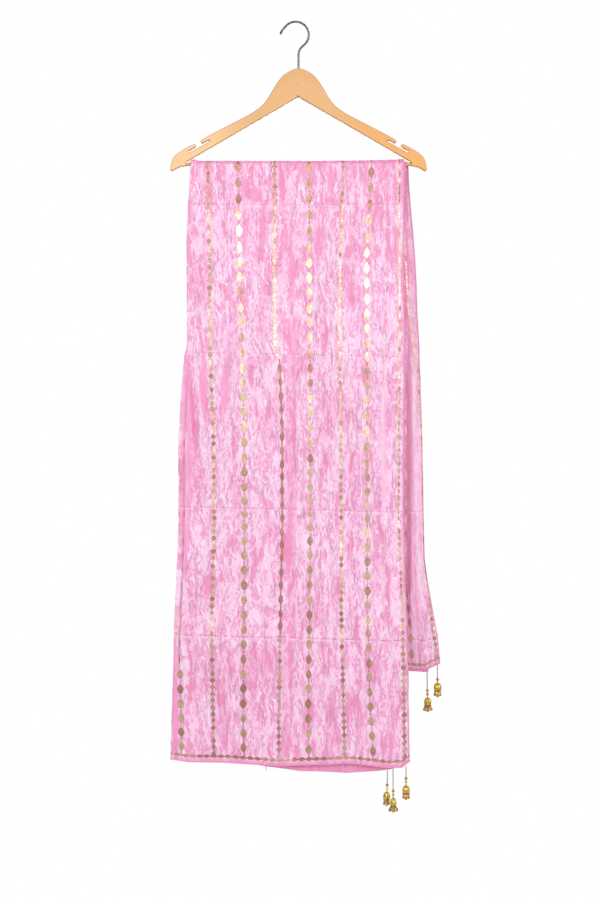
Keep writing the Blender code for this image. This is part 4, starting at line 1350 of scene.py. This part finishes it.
def wood_outline():
    """The shoulders' outline, from the dome's top round the right half and back up the left."""
    rows = WOOD_OUTLINE
    half = []
    for i in range(len(rows) - 1):
        here, after = rows[i], rows[i + 1]
        before = rows[i - 1] if i else (-after[0], after[1], True)
        beyond = rows[min(i + 2, len(rows) - 1)]
        if here[2] and after[2]:
            points = [(row[0], row[1]) for row in (before, here, after, beyond)]
            half.extend(through(points, OUTLINE_STEPS))
        else:
            first, second = Vector(here[:2]), Vector(after[:2])
            parts = math.ceil((second - first).length / STRAIGHT_STEP)
            half.extend(first.lerp(second, k / parts) for k in range(parts))
    half.append(Vector(rows[-1][:2]))
    return half + [Vector((-p.x, p.y)) for p in reversed(half[1:-1])]


def inward(outline):
    """For each point of a clockwise outline, the step that moves both its edges in by 1."""
    steps = []
    for i, point in enumerate(outline):
        before = (point - outline[i - 1]).normalized()
        after = (outline[(i + 1) % len(outline)] - point).normalized()
        total = Vector((before.y + after.y, -(before.x + after.x)))
        half = total.length / 2
        steps.append(total.normalized() / max(half, 0.6))
    return steps


def hanger_wood():
    """The flat wooden shoulders with fully rounded edges."""
    outline = wood_outline()
    steps = inward(outline)
    mesh_data = bmesh.new()
    flat = mesh_data.verts.layers.float.new("flat")
    net = []
    for side, turns in ((1, range(EDGE_RINGS, -1, -1)), (-1, range(EDGE_RINGS + 1))):
        for k in turns:
            angle = math.pi / 2 * k / EDGE_RINGS
            inset = WOOD_EDGE * (1 - math.cos(angle))
            y = side * (WOOD_THICKNESS / 2 - WOOD_EDGE * (1 - math.sin(angle)))
            places = [point + step * inset for point, step in zip(outline, steps)]
            net.append([mesh_data.verts.new((CENTRE_X + place.x, y, place.y)) for place in places])
            for vertex in net[-1]:
                vertex[flat] = math.sin(angle)
    count = len(outline)
    for upper, lower in zip(net, net[1:]):
        for i in range(count):
            j = (i + 1) % count
            mesh_data.faces.new((upper[i], lower[i], lower[j], upper[j])).smooth = True
    for row in (net[0], net[-1]):
        flat_points = [Vector((vertex.co.x, vertex.co.z, 0.0)) for vertex in row]
        for corners in tessellate_polygon([flat_points]):
            mesh_data.faces.new([row[k] for k in corners])
    return put("hanger_wood", mesh_data, wood("lacquered_wood"))


def wood(name):
    """Pale lacquered wood, its grain running down each arm, with painted shade round the edges and
    a painted sheen towards one end.
    """
    nodes = Nodes(name)
    x, depth, level = nodes.split(nodes.place())
    out = abs(x - CENTRE_X)
    cosine, sine = math.cos(GRAIN_SLOPE), math.sin(GRAIN_SLOPE)
    grain = nodes.join(out * cosine - level * sine, out * sine + level * cosine, depth)
    bands = nodes.noise(grain, (0.220, 0.0110, 0.020), 3.0, 0.6)
    fibre = nodes.noise(grain, (0.024, 0.0008, 0.002))
    blotch = nodes.noise(grain, (0.060, 0.030, 0.030), 1.0)
    edge = nodes.mark("flat")
    colour = nodes.layers(
        nodes.mix(nodes.ramp(bands, 0.28, 0.56), WOOD_DARK, WOOD_LIGHT),
        (nodes.ramp(fibre, 0.56, 0.80, 0.0, 0.22), WOOD_FIBRE),
        (nodes.ramp(x, WARM_FROM, WARM_TO, 0.0, 0.80)
         + nodes.ramp(blotch, 0.40, 0.66, 0.0, 0.20), WOOD_WARM),
        # painted sheen towards one arm's end
        (nodes.ramp(x, SHEEN_FROM, SHEEN_TO, 0.0, 0.75), WOOD_SHEEN),
        # painted shade across the rounded edges, most on the curve between face and side
        (nodes.ramp(edge, 0.995, 0.80, 0.0, 0.95)
         * nodes.ramp(edge, 0.0, 0.50, 0.20, 1.0), WOOD_EDGE_SHADE))
    normal = nodes.bump(bands, 0.00020, 0.3, nodes.bump(fibre, 0.00005, 0.6))
    return nodes.set(Base_Color=colour, Normal=normal, Coat_Weight=0.25, Coat_Roughness=0.22,
                     Roughness=nodes.ramp(bands, 0.3, 0.7, 0.42, 0.34))


def bar_wood(name):
    """The bar's turned wood, grain along it."""
    nodes = Nodes(name)
    place = nodes.place()
    grain = nodes.noise(place, (0.060, 0.0012, 0.0012))
    bands = nodes.noise(place, (0.120, 0.0040, 0.0040))
    colour = nodes.layers(nodes.mix(nodes.ramp(bands, 0.35, 0.65), WOOD_DARK, WOOD_LIGHT),
                          (nodes.ramp(grain, 0.55, 0.78, 0.0, 0.35), WOOD_FIBRE))
    return nodes.set(Base_Color=colour, Normal=nodes.bump(grain, 0.00006, 0.6), Roughness=0.42)


def hook_path():
    """The wire's centre line: crook from tip to neck, the neck's bend, and the shank."""
    centre_z = WIRE_RADIUS - HOOK_RADIUS
    path = []
    for step in range(CROOK_STEPS + 1):
        angle = HOOK_TIP_ANGLE + (HOOK_NECK_ANGLE - HOOK_TIP_ANGLE) * step / CROOK_STEPS
        flare = HOOK_FLARE * float(smooth(angle, HOOK_FLARE_FROM, HOOK_TIP_ANGLE + 6.0))
        turn = math.radians(angle)
        radius = HOOK_RADIUS + flare
        path.append(Vector((radius * math.cos(turn), 0.0, centre_z + radius * math.sin(turn))))
    neck = path[-1]
    heading = (neck - path[-2]).normalized()
    shank = Vector((CENTRE_X, 0.0, SHANK_TOP))
    pull = NECK_PULL * (neck - shank).length
    bend_from, bend_to = neck + heading * pull, shank + Vector((0.0, 0.0, pull))
    for step in range(1, NECK_STEPS + 1):
        t = step / NECK_STEPS
        s = 1.0 - t
        path.append(s ** 3 * neck + 3 * s * s * t * bend_from + 3 * s * t * t * bend_to
                    + t ** 3 * shank)
    foot = WOOD_OUTLINE[0][1]
    for share in (0.25, 0.5, 0.75, 1.0):
        path.append(Vector((CENTRE_X, 0.0, SHANK_TOP + (foot - 0.004 - SHANK_TOP) * share)))
    return path


def hanger_wire():
    """The bent steel wire, its tip rolled to a small bead."""
    path = hook_path()
    factors = TIP_RADII + (1.0,) * (len(path) - len(TIP_RADII))
    mesh_data = bmesh.new()
    tube(mesh_data, path, [WIRE_RADIUS * factor for factor in factors], 20)
    return put("hanger_wire", mesh_data, steel("dark_steel"))


def steel(name):
    """Dark polished wire with faint drawn lines and small dull spots."""
    nodes = Nodes(name)
    place = nodes.place()
    dull = nodes.noise(place, (0.004, 0.004, 0.004), 3.0)
    drawn = nodes.noise(place, (0.0006, 0.0006, 0.0200), 1.0)
    return nodes.set(Base_Color=nodes.mix(nodes.ramp(dull, 0.35, 0.70), STEEL_DARK, STEEL_LIGHT),
                     Normal=nodes.bump(drawn, 0.00002, 0.6), Metallic=1.0,
                     Roughness=nodes.ramp(dull, 0.35, 0.75, 0.22, 0.38))


def hanger_pins():
    """The small steel pins that show in the wood's face."""
    mesh_data = bmesh.new()
    for x, level, radius in PINS:
        place = Matrix.Translation((x, -WOOD_THICKNESS / 2, level)) @ Matrix.Diagonal(
            (1.0, 0.35, 1.0, 1.0))
        bmesh.ops.create_uvsphere(mesh_data, u_segments=16, v_segments=10, radius=radius,
                                  matrix=place)
    for face in mesh_data.faces:
        face.smooth = True
    return put("hanger_pins", mesh_data, steel("pin_steel"))


def dress_hanger():
    """The shoulders, the bar, the hook and the pins."""
    shoulders = hanger_wood()
    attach(shoulders, BODY)
    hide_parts("hanger_body", "hanger_end_left", "hanger_end_right")
    wire = hanger_wire()
    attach(wire, BODY)
    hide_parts("hanger_hook")
    pins = hanger_pins()
    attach(pins, BODY)
    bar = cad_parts["hanger_bar"]
    for place in bar.material_slots:
        place.material = bar_wood("bar_wood")


# ---- Tassels -------------------------------------------------------------------------------------
def finer(profile, parts):
    """A profile with its gaps filled along a smooth curve."""
    run = []
    last = len(profile) - 1
    for i in range(last):
        points = [profile[max(i - 1, 0)], profile[i], profile[i + 1], profile[min(i + 2, last)]]
        run += [tuple(p) for p in through(points, parts)]
    return run + [profile[-1]]


def facet_bead(mesh_data, middle, radius, index):
    """A cut bead: eight sides drawn in to both ends."""
    profile = [(middle + radius * drop, radius * out) for drop, out in BEAD_PROFILE]
    lathe(mesh_data, profile, 8, lambda drop, out, a: out, index)


def tassel_metal(cord, beads, round_dome, skirt, bead_ring):
    """Beads, embossed dome, ring of small beads and petalled skirt, hanging from the origin."""
    mesh_data = bmesh.new()
    for k in range(beads):
        facet_bead(mesh_data, cord + BEAD_PITCH * k, BEAD_RADIUS * (1.08 - 0.12 * k),
                   COPPER if k == 0 else GOLD)
    top = cord + BEAD_PITCH * (beads - 1) + 1.9 * BEAD_RADIUS

    def share(value):
        return min(1.0, max(0.0, value))

    def embossed(drop, radius, angle):
        band = share((drop - top - 0.0012) / 0.002) * share((top + 0.0128 - drop) / 0.002)
        return radius * (1 + 0.055 * band * math.sin(SWIRLS * angle + 420.0 * (drop - top)))

    def petalled(drop, radius, angle):
        flare = share((drop - top - 0.0150) / 0.0080)
        widen = 1 + (skirt - 1) * share((drop - top - 0.0145) / 0.004)
        return radius * widen * (1 - 0.20 * flare * (0.5 - 0.5 * math.cos(PETALS * angle)))

    dome = [(top + drop, radius * round_dome) for drop, radius in finer(DOME, 3)]
    hem = [(top + drop, radius) for drop, radius in finer(SKIRT, 2)]
    faces = lathe(mesh_data, dome, 54, embossed, GOLD)
    faces += lathe(mesh_data, hem, 48, petalled, COPPER)
    for face in faces:
        face.smooth = len(face.verts) == 4
    for angles, reach, drop, radius, index in (
            (circle(RING_BEADS), 0.0052 * bead_ring, RING_DROP, 0.00135, COPPER),
            (circle(PETALS, 0.5), 0.0070 * skirt, PETAL_DROP, 0.00105, GOLD)):
        for a in angles:
            ball(mesh_data, (reach * math.cos(a), reach * math.sin(a), -(top + drop)), radius,
                 index, sides=10)
    ball(mesh_data, (0.0, 0.0, -(top + LAST_DROP)), 0.0021, COPPER)
    return mesh_data, top + BELL_LENGTH


def tassel_cord(length, seed):
    """Two strands twisted together, with the knot at the hem."""
    mesh_data = bmesh.new()
    steps = int(length / 0.0005)
    for turn in (0.0, math.pi):
        path = []
        for i in range(steps + 1):
            drop = length * i / steps
            a = turn + seed + 2 * math.pi * drop / STRAND_PITCH
            path.append(Vector((STRAND_RADIUS * math.cos(a), STRAND_RADIUS * math.sin(a), -drop)))
        tube(mesh_data, path, [STRAND_RADIUS] * len(path), 8)
    for drop, radius in ((0.0010, 0.00130), (0.0026, 0.00105)):
        ball(mesh_data, (0.0, 0.0, -drop), radius, 0, squash=0.8)
    return mesh_data


def metal(name, dark, light, roughness):
    """Plated metal, darker and lighter in random patches, with fine scratches."""
    nodes = Nodes(name)
    place = nodes.place()
    patina = nodes.noise(place, (0.0022, 0.0022, 0.0022), 3.0)
    scratch = nodes.noise(place, (0.0009, 0.0009, 0.0003))
    return nodes.set(Base_Color=nodes.mix(nodes.ramp(patina, 0.34, 0.62), dark, light),
                     Normal=nodes.bump(scratch, 0.00004, 0.6), Metallic=1.0,
                     Roughness=nodes.ramp(patina, 0.3, 0.7, roughness + 0.12, roughness))


def thread(name, dark, light):
    """Silky twisted thread."""
    nodes = Nodes(name)
    fibre = nodes.noise(nodes.place(), (0.0003, 0.0003, 0.0009))
    return nodes.set(Base_Color=nodes.mix(nodes.ramp(fibre, 0.35, 0.65), dark, light),
                     Normal=nodes.bump(fibre, 0.0001, 0.7), Roughness=0.55, Sheen_Weight=0.3)


def dress_tassels():
    """The five tassels, each hanging where its solid hangs."""
    gold = metal("tassel_gold", GOLD_DARK, GOLD_LIGHT, 0.22)
    copper = metal("tassel_copper", COPPER_DARK, COPPER_LIGHT, 0.30)
    silk = thread("tassel_silk", CORD_DARK, CORD_LIGHT)
    for number, (node, swing_x, swing_y, cord, *build) in enumerate(TASSELS):
        points = [vertex.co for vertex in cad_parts[node].data.vertices]
        top = max(point.z for point in points)
        rim = [point for point in points if point.z > top - 0.0006]
        seat = sum(rim, Vector()) / len(rim)
        metal_mesh, length = tassel_metal(cord, *build)
        cord_mesh = tassel_cord(length - CORD_SHORT, number)
        place = Matrix.Translation(seat) @ Matrix.Rotation(
            -math.asin(swing_x / length), 4, "Y") @ Matrix.Rotation(
                math.asin(swing_y / length), 4, "X")
        for name, mesh_data, materials, slot in (
                (node.replace("tassel", "bell"), metal_mesh, (gold, copper), "tassel_gold"),
                (node.replace("tassel", "cord"), cord_mesh, (silk,), "tassel_cord")):
            bmesh.ops.transform(mesh_data, matrix=place, verts=mesh_data.verts)
            piece = put(name, mesh_data, *materials)
            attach(piece, BODY)
            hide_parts(node)


# ---- Camera, light and floor ---------------------------------------------------------------------
def area_light(name, place, target, width, height, power):
    lamp = bpy.data.lights.new(name, "AREA")
    lamp.shape = "RECTANGLE"
    lamp.size, lamp.size_y = width, height
    lamp.energy = power
    obj = placed(name, lamp)
    obj.location = place
    obj.rotation_euler = (Vector(target) - Vector(place)).to_track_quat("-Z", "Y").to_euler()


def studio():
    """The camera straight in front, soft light, a near-white surround and a pale floor."""
    scene = bpy.context.scene
    lens = bpy.data.cameras.new("camera")
    lens.lens = LENS
    lens.sensor_width = SENSOR
    camera = placed("camera", lens)
    camera.location = (CAMERA_X, -CAMERA_DISTANCE, CAMERA_LEVEL)
    camera.rotation_euler = (math.pi / 2, 0.0, 0.0)
    scene.camera = camera
    for light in LIGHTS:
        area_light(*light)

    world = bpy.data.worlds.new("surround")
    scene.world = world
    world.use_nodes = True
    tree = world.node_tree
    light = tree.nodes["Background"]
    seen = tree.nodes.new("ShaderNodeBackground")
    for background, strength in ((light, SURROUND), (seen, 1.0)):
        background.inputs["Color"].default_value = (1.0, 1.0, 1.0, 1.0)
        background.inputs["Strength"].default_value = strength
    path = tree.nodes.new("ShaderNodeLightPath")
    join = tree.nodes.new("ShaderNodeMixShader")
    tree.links.new(path.outputs["Is Camera Ray"], join.inputs[0])
    tree.links.new(light.outputs[0], join.inputs[1])
    tree.links.new(seen.outputs[0], join.inputs[2])
    tree.links.new(join.outputs[0], tree.nodes["World Output"].inputs["Surface"])
    scene.view_settings.view_transform = "Standard"
    scene.view_settings.look = "None"

    floor_mesh = bmesh.new()
    bmesh.ops.create_circle(floor_mesh, cap_ends=True, segments=96, radius=FLOOR_RADIUS)
    mesh = bpy.data.meshes.new("floor")
    floor_mesh.to_mesh(mesh)
    floor_mesh.free()
    mesh.materials.append(Nodes("pale_floor").set(Base_Color=(0.93, 0.93, 0.93, 1.0),
                                                  Roughness=0.8))
    floor = placed("floor", mesh)
    floor.location = (0.0, 0.0, FLOOR_LEVEL)


def main():
    studio()
    dress_hanger()
    dress_tassels()
    pieces = dress_cloth()


main()
